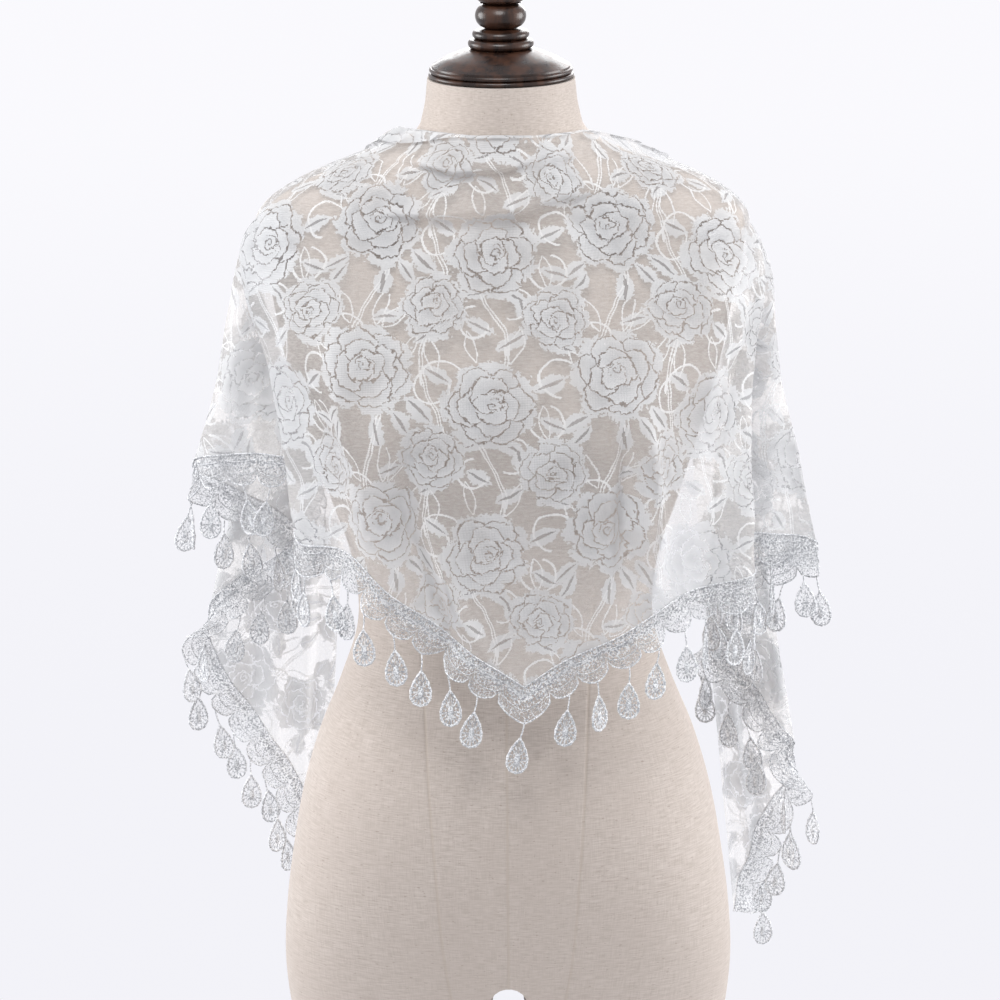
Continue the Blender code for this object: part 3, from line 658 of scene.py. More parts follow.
# %% Board
BOARD_INSET = 0.006
BOARD_EDGE = 0.003
board_low, board_high = heights("bottom_board")
board = bmesh.new()
outline = bmesh.ops.create_circle(board, cap_ends=True, segments=TORSO_SIDES, radius=1.0)["verts"]
for k, vert in enumerate(outline):
    edge_point = torso_point(TORSO_LOW, 2 * math.pi * k / TORSO_SIDES)
    shrink = 1 - BOARD_INSET / edge_point.xy.length
    vert.co = (edge_point.x * shrink, edge_point.y * shrink, board_low)
made = bmesh.ops.extrude_face_region(board, geom=board.faces[:])["geom"]
raised = [part for part in made if isinstance(part, bmesh.types.BMVert)]
bmesh.ops.translate(board, verts=raised, vec=(0.0, 0.0, board_high - board_low))
rims = [edge for edge in board.edges if abs(edge.verts[0].co.z - edge.verts[1].co.z) < 1e-6]
bmesh.ops.bevel(board, geom=rims, offset=BOARD_EDGE, offset_type="OFFSET", affect="EDGES", segments=4,
                profile=0.5, material=-1)
bmesh.ops.recalc_face_normals(board, faces=board.faces)
finish_piece("thigh_board", mesh_from(board, "thigh_board"), ["bottom_board"], [WALNUT])

# %% [markdown]
# ## How the shawl hangs
# The shawl is one flat triangle. Think of it as a fan of straight strands, each from the long edge, which lies
# round the neck, to a short side, which is the hem. Worn, a strand starts at the neck, rolls over the shoulder
# or the bust at its brow, and falls from there. The table names the strands that give the drape its ridges and
# valleys, and every strand between two of them is a smooth blend.

# %% Strand table
CENTRE_STRAND = 10  # row of the strand that ends in the front point
# name, then where the strand starts at the neck, where it rolls over the form, and where it meets the hem
STRANDS = (
    ("left tip", (-0.1030, 0.0380, 1.4020), (-0.1100, 0.0830, 1.3500), (-0.1570, 0.1300, 0.7850)),
    ("left tail low", (-0.0985, 0.0280, 1.4110), (-0.1380, 0.0780, 1.3500), (-0.1700, 0.1150, 0.8430)),
    ("left tail ridge", (-0.0930, 0.0160, 1.4190), (-0.1700, 0.0600, 1.3520), (-0.2430, 0.0830, 1.0210)),
    ("left tail valley", (-0.0890, 0.0090, 1.4245), (-0.1860, 0.0400, 1.3540), (-0.1700, 0.0600, 1.0870)),
    ("left wing ridge", (-0.0845, 0.0020, 1.4285), (-0.1940, 0.0120, 1.3560), (-0.2525, 0.0050, 1.1630)),
    ("left wing valley", (-0.0800, -0.0040, 1.4315), (-0.1950, -0.0120, 1.3540), (-0.1500, -0.0300, 1.1660)),
    ("left front ridge", (-0.0750, -0.0100, 1.4335), (-0.1930, -0.0350, 1.3450), (-0.1590, -0.1000, 1.1230)),
    ("left arm", (-0.0660, -0.0240, 1.4345), (-0.1630, -0.0820, 1.3180), (-0.1285, -0.1180, 1.1235)),
    ("left bust", (-0.0450, -0.0500, 1.4360), (-0.0950, -0.1480, 1.2280), (-0.0830, -0.1420, 1.0895)),
    ("left breast", (-0.0220, -0.0640, 1.4360), (-0.0480, -0.1510, 1.2240), (-0.0400, -0.1440, 1.0570)),
    ("point", (0.0000, -0.0670, 1.4365), (0.0020, -0.1480, 1.2220), (0.0140, -0.1430, 1.0190)),
    ("right breast", (0.0220, -0.0640, 1.4355), (0.0520, -0.1510, 1.2240), (0.0370, -0.1440, 1.0340)),
    ("right bust", (0.0450, -0.0500, 1.4345), (0.0950, -0.1480, 1.2280), (0.0830, -0.1420, 1.0560)),
    ("right arm", (0.0700, -0.0190, 1.4310), (0.1600, -0.0820, 1.3200), (0.1460, -0.1180, 1.0880)),
    ("right front ridge", (0.0950, -0.0060, 1.4230), (0.1900, -0.0350, 1.3450), (0.1910, -0.1000, 1.0940)),
    ("right wing valley", (0.1080, -0.0020, 1.4160), (0.1930, -0.0120, 1.3520), (0.1650, -0.0250, 1.1080)),
    ("right wing ridge", (0.1140, 0.0020, 1.4130), (0.1930, 0.0120, 1.3540), (0.2525, 0.0080, 1.0900)),
    ("right hidden valley", (0.1170, 0.0050, 1.4110), (0.1880, 0.0320, 1.3540), (0.1680, 0.0380, 1.0550)),
    ("right hidden ridge", (0.1190, 0.0070, 1.4100), (0.1830, 0.0460, 1.3520), (0.2050, 0.0600, 1.0300)),
    ("right tail valley", (0.1215, 0.0120, 1.4065), (0.1760, 0.0560, 1.3510), (0.1700, 0.0980, 0.9960)),
    ("right tail ridge", (0.1245, 0.0190, 1.4020), (0.1640, 0.0660, 1.3500), (0.2430, 0.0820, 0.8860)),
    ("right tail low", (0.1275, 0.0290, 1.3960), (0.1490, 0.0750, 1.3490), (0.2130, 0.1250, 0.8110)),
    ("right tip", (0.1295, 0.0380, 1.3890), (0.1350, 0.0800, 1.3470), (0.1930, 0.1250, 0.7310)),
)
ROWS = np.array([[*neck, *brow, *hem] for _, neck, brow, hem in STRANDS])
ROW_ALONG_HEM = lengths_along(ROWS[:, 6:9])
ROW_ALONG_HEM -= ROW_ALONG_HEM[CENTRE_STRAND]
print(len(STRANDS), "strands named, hem from", ROW_ALONG_HEM[0].round(3), "to", ROW_ALONG_HEM[-1].round(3))

# %% [markdown]
# ## From a few strands to many
# Between the named strands, the ends of any other one come from a smooth curve through the table. Scallops are
# evenly spaced along the real hem, so a place along it is counted in scallops from the front point. The height of
# the hem has a sharp corner there, so each side has a curve of its own for it.

# %% Strands
SCALLOPS = 34  # on each side, besides the one at the front point
COLUMNS = 6  # strands for each scallop
STRAND_ROWS = 96  # steps between points down a strand
STRAND_CLOSER = 1.2  # over 1, points lie closer at the neck, where the folds are small
HEM_SAMPLES = 801


def strand_ends(at):
    """Neck, brow and hem of the strand that meets the hem at this signed distance from the front point."""
    ends = hermite(ROW_ALONG_HEM, ROWS, at)
    side = slice(CENTRE_STRAND, None) if at >= 0 else slice(0, CENTRE_STRAND + 1)
    ends[8] = hermite(ROW_ALONG_HEM[side], ROWS[side, 8], at)
    return ends[0:3], ends[3:6], ends[6:9]


HEM_AT = np.linspace(ROW_ALONG_HEM[0], ROW_ALONG_HEM[-1], HEM_SAMPLES)
HEM_RUN = lengths_along(np.array([strand_ends(at)[2] for at in HEM_AT]))
HEM_RUN -= np.interp(0.0, HEM_AT, HEM_RUN)


def along_hem(scallop):
    """Where a scallop's place is in the table's own measure. Scallops are evenly spaced along the hem."""
    reach = HEM_RUN[-1] if scallop >= 0 else -HEM_RUN[0]
    return float(np.interp(scallop * reach / (SCALLOPS + 0.5), HEM_RUN, HEM_AT))


def strand(at, samples=64):
    """Evenly spaced points from the neck, over the brow, down to the hem."""
    neck, brow, hem = strand_ends(at)
    marks = np.array([neck, (neck + brow) / 2, brow, (brow + hem) / 2, hem])
    knots = lengths_along(marks)
    curve = np.array([hermite(knots, marks, knots[-1] * k / samples) for k in range(samples + 1)])
    run = lengths_along(curve)
    places = run[-1] * np.linspace(0, 1, STRAND_ROWS + 1) ** STRAND_CLOSER
    return np.array([np.interp(places, run, curve[:, axis]) for axis in range(3)]).T


PLACES = np.linspace(-SCALLOPS - 0.5, SCALLOPS + 0.5, (2 * SCALLOPS + 1) * COLUMNS + 1)  # in scallops
cloth = np.array([strand(along_hem(place)) for place in PLACES])
print("strands", cloth.shape, "hem", round(HEM_RUN[-1] - HEM_RUN[0], 3), "m")

# %% [markdown]
# ## Folds
# Between the broad ridges of the table, soft lace makes small folds of its own: two cowls across the throat,
# where the long edge lies slack round the neck, and pleats that fall from the bust to the hem. A cloth simulation
# would find some folds, but not these ones, so each is a soft ridge along a line of its own.

# %% Fold table
COWL_HIGH = ((-9.0, 0.034), (-7.0, 0.028), (-3.0, 0.022), (-0.2, 0.019), (4.2, 0.019), (6.5, 0.025))
COWL_LOW = ((-9.0, 0.092), (-6.7, 0.078), (-3.3, 0.056), (0.5, 0.049), (4.2, 0.045), (5.7, 0.054), (8.0, 0.080))
COWL_SLACK = ((-5.2, 0.090), (-4.2, 0.078), (-1.2, 0.072), (1.0, 0.068), (4.0, 0.070))
PLEAT_LEFT = ((-2.9, 0.300), (-2.7, 0.351), (-2.4, 0.378), (-1.8, 0.396), (-1.2, 0.424))
DIP_LEFT = ((-3.7, 0.250), (-3.9, 0.290), (-4.0, 0.326), (-3.3, 0.370), (-2.6, 0.400))
# name, height, half width, how far the crest hangs down, and the crest's or the valley's own line: scallops
# from the front point, and metres down the strand
FOLDS = (
    ("upper cowl", 0.0108, 0.0074, 0.0095, COWL_HIGH),
    ("lower cowl", 0.0112, 0.0090, 0.0098, COWL_LOW),
    ("slack below it", -0.0050, 0.0080, 0.0, COWL_SLACK),
    ("left pleat", 0.0160, 0.0090, 0.0, PLEAT_LEFT),
    ("beside it", -0.0160, 0.0110, 0.0, DIP_LEFT),
    ("right pleat", 0.0150, 0.0110, 0.0, ((3.4, 0.235), (3.6, 0.270), (3.9, 0.310), (4.2, 0.381))),
    ("by that one", -0.0150, 0.0100, 0.0, ((2.9, 0.235), (3.1, 0.280), (3.3, 0.350), (3.4, 0.385))),
    ("left chest", 0.0070, 0.0150, 0.0, ((-6.2, 0.120), (-5.6, 0.200), (-5.4, 0.300), (-5.2, 0.350))),
    ("right chest", 0.0070, 0.0150, 0.0, ((6.2, 0.110), (5.6, 0.180), (5.6, 0.300), (5.8, 0.370))),
)
print("folds:", ", ".join(fold[0] for fold in FOLDS))

# %% [markdown]
# ## Measuring on the cloth
# A fold's line is given on the cloth, by scallops along the hem and metres down the strand, because that is how a
# hand would point at it. These helpers find the line's points in space, how far the cloth is from it, and which
# way is out of the cloth.

# %% Places on the cloth
def grid_normals(grid):
    """Unit normals of a grid of points, that look away from the form."""
    normals = np.cross(np.gradient(grid, axis=0), np.gradient(grid, axis=1))
    normals /= np.linalg.norm(normals, axis=2, keepdims=True)
    return -normals


def bell(distance, half_width):
    return np.exp(-((distance / half_width) ** 2))


def smooth_step(value, low, high):
    share = np.clip((value - low) / (high - low), 0, 1)
    return share * share * (3 - 2 * share)


def spot_on(grid, down, place, depth):
    """The point of the cloth at a place along the hem and a depth down its strand."""
    columns = [[np.interp(depth, run, column[:, axis]) for axis in range(3)] for run, column in zip(down, grid)]
    return [np.interp(place, PLACES, values) for values in np.array(columns).T]


def beside_line(grid, line):
    """How far each point of the cloth is from a line of points, and how far along the line it is nearest."""
    run = lengths_along(line)
    best = np.full(grid.shape[:2], 9.0)
    along = np.zeros(grid.shape[:2])
    for k, (start, end) in enumerate(zip(line, line[1:])):
        step = end - start
        share = np.clip((grid - start) @ step / (step @ step), 0, 1)
        far = np.linalg.norm(grid - start - share[:, :, None] * step, axis=2)
        along = np.where(far < best, (run[k] + share * (run[k + 1] - run[k])) / run[-1], along)
        best = np.minimum(best, far)
    return best, along


downwards = np.gradient(cloth, axis=1)
downwards /= np.linalg.norm(downwards, axis=2, keepdims=True)
print("strands are", np.linalg.norm(np.diff(cloth, axis=1), axis=2).sum(axis=1).round(3)[::69], "m long")

# %% [markdown]
# ## Laying the folds in
# The cloth is moved out along the sheet's normals, and the crest of a cowl is also let down its strand, so that it
# hangs over a little and keeps a shadow under it. Ripples run down the wings and the tails, and a little noise
# keeps the sheet from looking pressed. Last, any point that came too near the form is pushed out of its skin.

# %% Folded cloth
CLEARANCE = 0.0042  # from the form to the lace
FOLD_ENDS = (0.7, 1.2)  # how softly a fold's height and its hang fade to its ends
RIPPLE_HEIGHT = 0.0034  # of the first wave on the wings
RIPPLES_START = (7.0, 14.0)  # scallops from the front point, between which the ripples come in
RIPPLE_LENGTHS = (2.3, 3.7)  # in scallops
FRONT_RIPPLE = (0.0022, 4.6)  # height, and length in scallops
NOISE_HEIGHT = 0.0020
NOISE_SCALE = 24.0


def wing_ripples(place, share):
    """Two waves of different lengths, which start at the shoulders and grow towards the hem."""
    short, long = RIPPLE_LENGTHS
    wave = np.sin(2 * math.pi * (place / short + 0.7 * share)) + 0.6 * np.sin(2 * math.pi * (place / long - share))
    return RIPPLE_HEIGHT * smooth_step(share, 0.30, 0.95) * smooth_step(np.abs(place), *RIPPLES_START) * wave


def front_ripples(place, share):
    """A lower wave over the front, which fades where the others start."""
    height, length = FRONT_RIPPLE
    wave = np.sin(2 * math.pi * (place / length + 0.35)) * (1 - smooth_step(np.abs(place), *RIPPLES_START))
    return height * smooth_step(share, 0.55, 1.0) * wave


def fold_moves(grid, places):
    """How far each point of the cloth moves out, and how far it moves down its strand."""
    steps = np.linalg.norm(np.diff(grid, axis=1), axis=2)
    down = np.concatenate([np.zeros((len(grid), 1)), np.cumsum(steps, axis=1)], axis=1)
    share = down / down[:, -1:]
    place = places[:, None] + 0 * down
    height = np.zeros_like(down)
    droop = np.zeros_like(down)
    for _, lift, half_width, hang, line in FOLDS:
        points = np.array([spot_on(grid, down, *spot) for spot in line])
        far, along = beside_line(grid, points)
        middle = np.sin(math.pi * (0.03 + 0.94 * along))
        height += lift * bell(far, half_width) * middle ** FOLD_ENDS[0]
        droop += hang * bell(far, half_width) * middle ** FOLD_ENDS[1]
    height += wing_ripples(place, share)
    height += front_ripples(place, share)
    for i, column in enumerate(grid):
        for k, point in enumerate(column):
            height[i, k] += NOISE_HEIGHT * noise.noise(Vector(point) * NOISE_SCALE)
    return height, droop


def push_out(points):
    """Moves the points that are too near the form's skin to their clearance."""
    for k, point in enumerate(points):
        place, normal, _, _ = skin.find_nearest(Vector(point))
        if (Vector(point) - place).dot(normal) < CLEARANCE:
            points[k] = np.array(place + normal * CLEARANCE)


out, hang = fold_moves(cloth, PLACES)
cloth += grid_normals(cloth) * out[:, :, None] + downwards * hang[:, :, None]
for column in cloth:
    push_out(column)
print("cloth from", cloth.min(axis=(0, 1)).round(3), "to", cloth.max(axis=(0, 1)).round(3))

# %% [markdown]
# ## The rolled neckline
# Round the left half of the neck the long edge is rolled over to the outside, which doubles the lace there. The
# extra rows start where the edge ends up, run up the outside of the cloth and turn over at the neck.

# %% Rolled neckline
ROLL_ROWS = 12
ROLL_GAP = 0.0030  # from the cloth to the turned edge on top of it
ROLL_LEAST = 0.003  # a bare hem
ROLL_MOST = 0.017  # on top of that, at the left of the neck
ROLL_GROWS = (3.0, 8.0)  # scallops to the left of the front point
ROLL_FADES = (14.0, 26.0)
ROLL_FADE = 0.4  # of its depth is gone at the tip


def roll_depth(place):
    """How far the long edge hangs down outside the cloth."""
    faded = 1 - ROLL_FADE * smooth_step(-place, *ROLL_FADES)
    return ROLL_LEAST + ROLL_MOST * smooth_step(-place, *ROLL_GROWS) * faded


def rolled_rows(column, normals, depth):
    run = lengths_along(column)
    rows = []
    for k in range(ROLL_ROWS):
        back = depth * (1 - k / ROLL_ROWS)
        point = np.array([np.interp(back, run, column[:, axis]) for axis in range(3)])
        out = np.array([np.interp(back, run, normals[:, axis]) for axis in range(3)])
        lift = ROLL_GAP * math.sqrt(min(1.0, back / ROLL_GAP))
        rows.append(point + out * lift)
    return np.array(rows)


cloth_normals = grid_normals(cloth)
rolls = [rolled_rows(column, normals, roll_depth(place))
         for column, normals, place in zip(cloth, cloth_normals, PLACES)]
cloth = np.concatenate([np.array(rolls), cloth], axis=1)
print("cloth grid", cloth.shape[:2])

# %% [markdown]
# ## The cut, laid flat
# The lace pattern was knitted while the cloth was flat, so it has to follow the flat cut. Laying a draped
# cloth flat is what UV unwrapping does. The method with the least stretch keeps threads near their real
# length. A coarse grid is unwrapped, scaled back to metres and turned until the grain is upright at the middle
# of the front, and the fine grid takes its places from it.

# %% Lay the cloth flat
GRAIN_TURN = math.radians(4)  # the grain leans this much from the strand to the front point
FLAT_GRID = (139, 28)  # columns and rows of the coarse grid
FLAT_ROUNDS = 60  # passes of the unwrapping


def evenly(count, last):
    return np.unique(np.linspace(0, last, count).round().astype(int))


def sheet_shape(columns, rows):
    """A bmesh grid, and the column and row of each of its points."""
    shape = bmesh.new()
    bmesh.ops.create_grid(shape, x_segments=columns - 1, y_segments=rows - 1, size=1.0)
    spots = [(round((vert.co.x + 1) / 2 * (columns - 1)), rows - 1 - round((vert.co.y + 1) / 2 * (rows - 1)))
             for vert in shape.verts]
    return shape, spots


def unwrapped(grid):
    """Flat places of a grid of points, in metres, with as little stretch as can be."""
    shape, spots = sheet_shape(*grid.shape[:2])
    for vert, spot in zip(shape.verts, spots):
        vert.co = grid[spot]
    mesh = bpy.data.meshes.new("pattern")
    shape.to_mesh(mesh)
    shape.free()
    pattern = bpy.data.objects.new("pattern", mesh)
    bpy.context.scene.collection.objects.link(pattern)
    bpy.context.view_layer.objects.active = pattern
    mesh.uv_layers.new(name="flat")
    bpy.ops.object.mode_set(mode="EDIT")
    bpy.ops.mesh.select_all(action="SELECT")
    bpy.ops.uv.unwrap(method="MINIMUM_STRETCH", iterations=FLAT_ROUNDS, no_flip=True, margin=0.0)
    bpy.ops.object.mode_set(mode="OBJECT")
    flat = np.zeros((*grid.shape[:2], 2))
    for loop, place in zip(mesh.loops, mesh.uv_layers["flat"].data):
        flat[spots[loop.vertex_index]] = place.uv
    bpy.data.objects.remove(pattern)
    return flat * total_length(grid) / total_length(flat)


def total_length(grid):
    return np.linalg.norm(np.diff(grid, axis=1), axis=2).sum()


def turned_by(points, angle):
    cosine, sine = math.cos(angle), math.sin(angle)
    return points @ np.array([[cosine, -sine], [sine, cosine]]).T


def lay_flat(grid):
    """The flat place of each point: across from the middle of the front, and up from the neck's edge."""
    columns, rows = (evenly(count, size - 1) for count, size in zip(FLAT_GRID, grid.shape))
    coarse = unwrapped(grid[np.ix_(columns, rows)])
    flat = np.zeros((*grid.shape[:2], 2))
    for axis in range(2):
        by_row = [np.interp(np.arange(grid.shape[1]), rows, line) for line in coarse[:, :, axis]]
        flat[:, :, axis] = np.array([np.interp(np.arange(grid.shape[0]), columns, line)
                                     for line in np.array(by_row).T]).T
    middle = grid.shape[0] // 2
    down = unit(flat[middle, -1] - flat[middle, ROLL_ROWS])
    upright = np.array([[-down[1], down[0]], [-down[0], -down[1]]])
    flat = (flat - flat[middle, ROLL_ROWS]) @ upright.T
    if flat[-1, -1, 0] < 0:
        flat[:, :, 0] *= -1
    return turned_by(flat, GRAIN_TURN)


cut = lay_flat(cloth)
stretch = np.linalg.norm(np.diff(cloth, axis=1), axis=2) / np.linalg.norm(np.diff(cut, axis=1), axis=2)
print("cut from", cut.min(axis=(0, 1)).round(3), "to", cut.max(axis=(0, 1)).round(3))
print("stretch along the strands", np.percentile(stretch, (5, 50, 95)).round(3))

# %% [markdown]
# ## The roses of the lace
# The lace is knitted: a fine sheer net, and on it closely knitted roses, leaves and stems. The pattern repeats,
# so a point of the flat cut is first wrapped into one repeat. There the nearest of four roses is found. Its
# petals are discs, laid over each other from the back to the front as real petals are, with a line of tiny
# holes round each and a spiral at the heart.

# %% Rose table
REPEAT = Vector((0.180, 0.117, 1.0))
FIRST_ROSE = Vector((-0.094, -0.0770, 0.0))
# across and down from the first rose, radius, turn
ROSES = (
    (0.0000, 0.0000, 0.0345, 0.3),
    (0.0895, -0.0265, 0.0345, 2.1),
    (0.0470, -0.0670, 0.0260, 1.2),
    (0.1345, -0.0750, 0.0260, 4.4),
)
# a rose's petals from the back to the front: across and up from its middle, and radius, in radii of the rose
BACK_PETALS = (
    (-0.06, 0.54, 0.42), (0.46, 0.40, 0.40), (0.62, -0.12, 0.38), (0.34, -0.56, 0.42),
    (-0.24, -0.60, 0.38), (-0.60, -0.24, 0.38), (-0.56, 0.30, 0.38),
)
FRONT_PETALS = (
    (0.22, 0.40, 0.42), (0.46, 0.02, 0.40), (0.26, -0.38, 0.42), (-0.20, -0.44, 0.40),
    (-0.50, -0.04, 0.36), (-0.30, 0.40, 0.36), (0.24, 0.18, 0.38), (0.14, -0.22, 0.40),
    (-0.24, -0.18, 0.36), (-0.16, 0.22, 0.32), (0.06, 0.06, 0.32), (-0.08, -0.06, 0.28),
)
print(len(ROSES), "roses to a repeat of", [round(side, 3) for side in REPEAT.xy], "m")

# %% Roses
PETAL_LINE = 0.015  # half the width of the line of holes, in radii of the rose
PETAL_SHADE_RATE = 2.4  # painted shade: how fast a petal darkens with the distance from its rim
ROSE_MIDDLE = 0.5  # closed this far out, whatever the petals are
OUTER_FRAY = 0.40  # how far noise moves the rose's outline, and the lines inside it
INNER_FRAY = 0.12
ROSE_HEART = (-0.06, 0.04, 0.0)
HEART_RADIUS = 0.19
HEART_TURNS = 9.0  # of the spiral, for each radius of the rose
HEART_LINE = 0.26  # share of each turn that is open


def least(r, values):
    best = values[0]
    for value in values[1:]:
        best = r.math("MINIMUM", best, value)
    return best


def rose_frames(r, flat):
    """For each rose of the repeat, the point's place from the middle of the nearest such rose, in metres."""
    frames = []
    for across, down, _, _ in ROSES:
        centre = FIRST_ROSE + Vector((across, down, 0.0))
        place = r.vector("SUBTRACT", flat, tuple(centre))
        frames.append(r.vector("WRAP", place, tuple(REPEAT / 2), tuple(-REPEAT / 2)))
    return frames


def nearest_rose(r, frames):
    """The place in the nearest rose, in units of its radius, and how far from the middle that is."""
    best = best_far = None
    for frame, (_, _, radius, turn) in zip(frames, ROSES):
        place = r.put("Mapping", {"Vector": frame, "Rotation": (0.0, 0.0, turn), "Scale": (1 / radius,) * 3})
        place = place.outputs["Vector"]
        far = r.vector("LENGTH", place)
        if best is None:
            best, best_far = place, far
        else:
            closer = r.math("LESS_THAN", far, best_far)
            mix = r.put("Mix", {0: closer, 4: best, 5: place}, data_type="VECTOR")
            best, best_far = mix.outputs[1], r.math("MINIMUM", far, best_far)
    return best, best_far


def rose_pattern(r, place, far, wobble):
    """Closed petals, the lines of holes between them, and a tone of painted shade that darkens where a petal is
    tucked under.
    """
    outer = None
    for across, up, radius in BACK_PETALS:
        off = r.math("SUBTRACT", r.vector("DISTANCE", place, (across, up, 0.0)), radius)
        outer = off if outer is None else r.math("MINIMUM", outer, off)
    outer = r.math("MULTIPLY_ADD", wobble, OUTER_FRAY, outer)
    closed = r.math("MAXIMUM", r.math("LESS_THAN", outer, 0.0), r.math("LESS_THAN", far, ROSE_MIDDLE))
    line = 0.0
    # painted shade: the tone darkens a rose inwards from its outline, and each front petal inwards from its rim
    tone = r.math("MULTIPLY", outer, -1.0)
    frayed = r.math("MULTIPLY", wobble, INNER_FRAY)
    for across, up, radius in FRONT_PETALS:
        off = r.math("ADD", r.vector("DISTANCE", place, (across, up, 0.0)), frayed)
        covered = r.math("LESS_THAN", off, radius + PETAL_LINE)
        rim = r.math("GREATER_THAN", off, radius - PETAL_LINE)
        line = r.put("Mix", {0: covered, 2: line, 3: rim}).outputs[0]
        # painted shade: the petal is pale at its rim and darker inwards, where it lies tucked under
        tucked = r.math("MULTIPLY_ADD", off, -PETAL_SHADE_RATE, PETAL_SHADE_RATE * radius)
        tone = r.put("Mix", {0: covered, 2: tone, 3: tucked}).outputs[0]
    inside = r.vector("SUBTRACT", place, ROSE_HEART)
    x, y, _ = r.split(inside)
    turns = r.math("MULTIPLY", r.math("ARCTAN2", y, x), -1 / (2 * math.pi))
    bent = r.math("ADD", r.vector("LENGTH", inside), frayed)
    spiral = r.math("LESS_THAN", r.math("FRACT", r.math("MULTIPLY_ADD", bent, HEART_TURNS, turns)), HEART_LINE)
    line = r.put("Mix", {0: r.math("LESS_THAN", bent, HEART_RADIUS), 2: line, 3: spiral}).outputs[0]
    return closed, line, tone


print("a rose has", len(BACK_PETALS), "petals behind and", len(FRONT_PETALS), "in front")

# %% [markdown]
# ## Leaves, stems and tendrils
# A leaf is a lens shape with a slit along its middle, in a frame of its own that grows from a rose. An open leaf
# is only the outline of one. Stems are sine curves down the cloth, and tendrils are arcs. Each of them is a field
# of distances, and the least of them says where thread is.

# %% Leaf table
# rose that it grows by, across and down from that rose's middle, length, direction
LEAVES = (
    (0, 0.026, -0.022, 0.030, -0.75),
    (0, -0.020, -0.029, 0.024, -2.5),
    (0, -0.030, 0.016, 0.026, 2.75),
    (1, 0.030, 0.012, 0.026, 0.45),
    (1, -0.026, -0.020, 0.028, -2.2),
    (1, 0.016, -0.031, 0.024, -1.1),
    (2, -0.016, 0.018, 0.024, 2.2),
    (2, 0.021, 0.008, 0.022, 0.3),
    (3, -0.019, -0.013, 0.025, -2.6),
    (3, 0.013, 0.020, 0.022, 1.0),
    (0, 0.034, 0.020, 0.024, 0.65),
    (0, 0.006, -0.036, 0.026, -1.5),
    (1, 0.034, -0.010, 0.024, -0.35),
    (1, -0.030, 0.016, 0.024, 2.6),
    (2, 0.024, -0.010, 0.024, -0.5),
    (2, -0.023, -0.006, 0.022, -2.9),
    (3, -0.022, 0.010, 0.023, 2.5),
    (3, 0.020, -0.014, 0.024, -0.7),
)
# the same for the leaves of which only the outline is worked
SPRAYS = (
    (0, 0.006, 0.033, 0.030, 1.35),
    (0, 0.010, 0.032, 0.027, 0.85),
    (1, -0.010, 0.033, 0.026, 1.9),
    (2, -0.002, -0.024, 0.030, -1.45),
    (2, -0.010, -0.022, 0.026, -2.0),
    (3, 0.010, -0.024, 0.028, -1.0),
    (0, -0.012, 0.032, 0.028, 2.0),
    (1, 0.012, 0.032, 0.028, 1.2),
    (3, -0.004, 0.024, 0.026, 1.8),
)
# rose in whose frame it lies, middle of the arc, radius, and the direction that its opening looks in
ARCS = (
    (0, 0.046, -0.014, 0.0125, 1.2),
    (0, -0.042, -0.004, 0.0140, -0.6),
    (1, 0.040, -0.012, 0.0130, 2.4),
    (1, -0.036, 0.018, 0.0150, -1.9),
    (2, 0.030, -0.012, 0.0120, 0.6),
    (3, -0.030, 0.010, 0.0125, 3.4),
    (3, 0.030, -0.016, 0.0130, -2.2),
)
print(len(LEAVES), "leaves,", len(SPRAYS), "open leaves and", len(ARCS), "tendrils to a repeat")

# %% Leaves and stems
LEAF_WIDTH = 0.95  # of a leaf, its slit, and an open leaf, as shares of the lens
SLIT_WIDTH = 0.60
SPRAY_WIDTH = 0.62
SLIT_ENDS = (2.3, 0.05)  # narrows the slit, and keeps it away from the leaf's ends
STEM_SWING = 1.8
STEM_GAP = 0.0011  # a stem is two threads, this far either side of its middle
TENDRIL_FINER = 0.65
# rose whose frame a stem is in, how far it swings to the sides, and its phase
STEMS = ((0, 0.0050, 0.2), (1, 0.0065, 2.4), (2, 0.0045, 4.0))


def in_leaf(r, frames, leaf):
    """A point in a leaf's own frame: 0 to 1 from its foot to its tip, and off its midrib."""
    rose, across, down, length, turn = leaf
    place = r.put("Mapping", {"Vector": frames[rose], "Location": (across, down, 0.0),
                              "Rotation": (0.0, 0.0, turn), "Scale": (length,) * 3}, vector_type="TEXTURE")
    x, y, _ = r.split(place.outputs["Vector"])
    return x, r.math("ABSOLUTE", y), r.math("MULTIPLY", x, r.math("SUBTRACT", 1.0, x))


def leaf_fields(r, frames):
    """Below zero inside a leaf, and below zero in the slit along its midrib."""
    fields = []
    slits = []
    for leaf in LEAVES:
        x, off, bulge = in_leaf(r, frames, leaf)
        fields.append(r.math("MULTIPLY_ADD", bulge, -LEAF_WIDTH, off))
        slits.append(r.math("MULTIPLY_ADD", bulge, -SLIT_WIDTH, r.math("MULTIPLY_ADD", off, *SLIT_ENDS)))
    return least(r, fields), least(r, slits)


def spray_field(r, frames):
    """How far a point is from the outline of the nearest open leaf, in lengths of the leaf."""
    outlines = []
    for leaf in SPRAYS:
        x, off, bulge = in_leaf(r, frames, leaf)
        outline = r.math("ABSOLUTE", r.math("MULTIPLY_ADD", bulge, -SPRAY_WIDTH, off))
        beyond = r.math("MULTIPLY", bulge, -4.0)
        outlines.append(r.math("MAXIMUM", outline, beyond))
    return least(r, outlines)


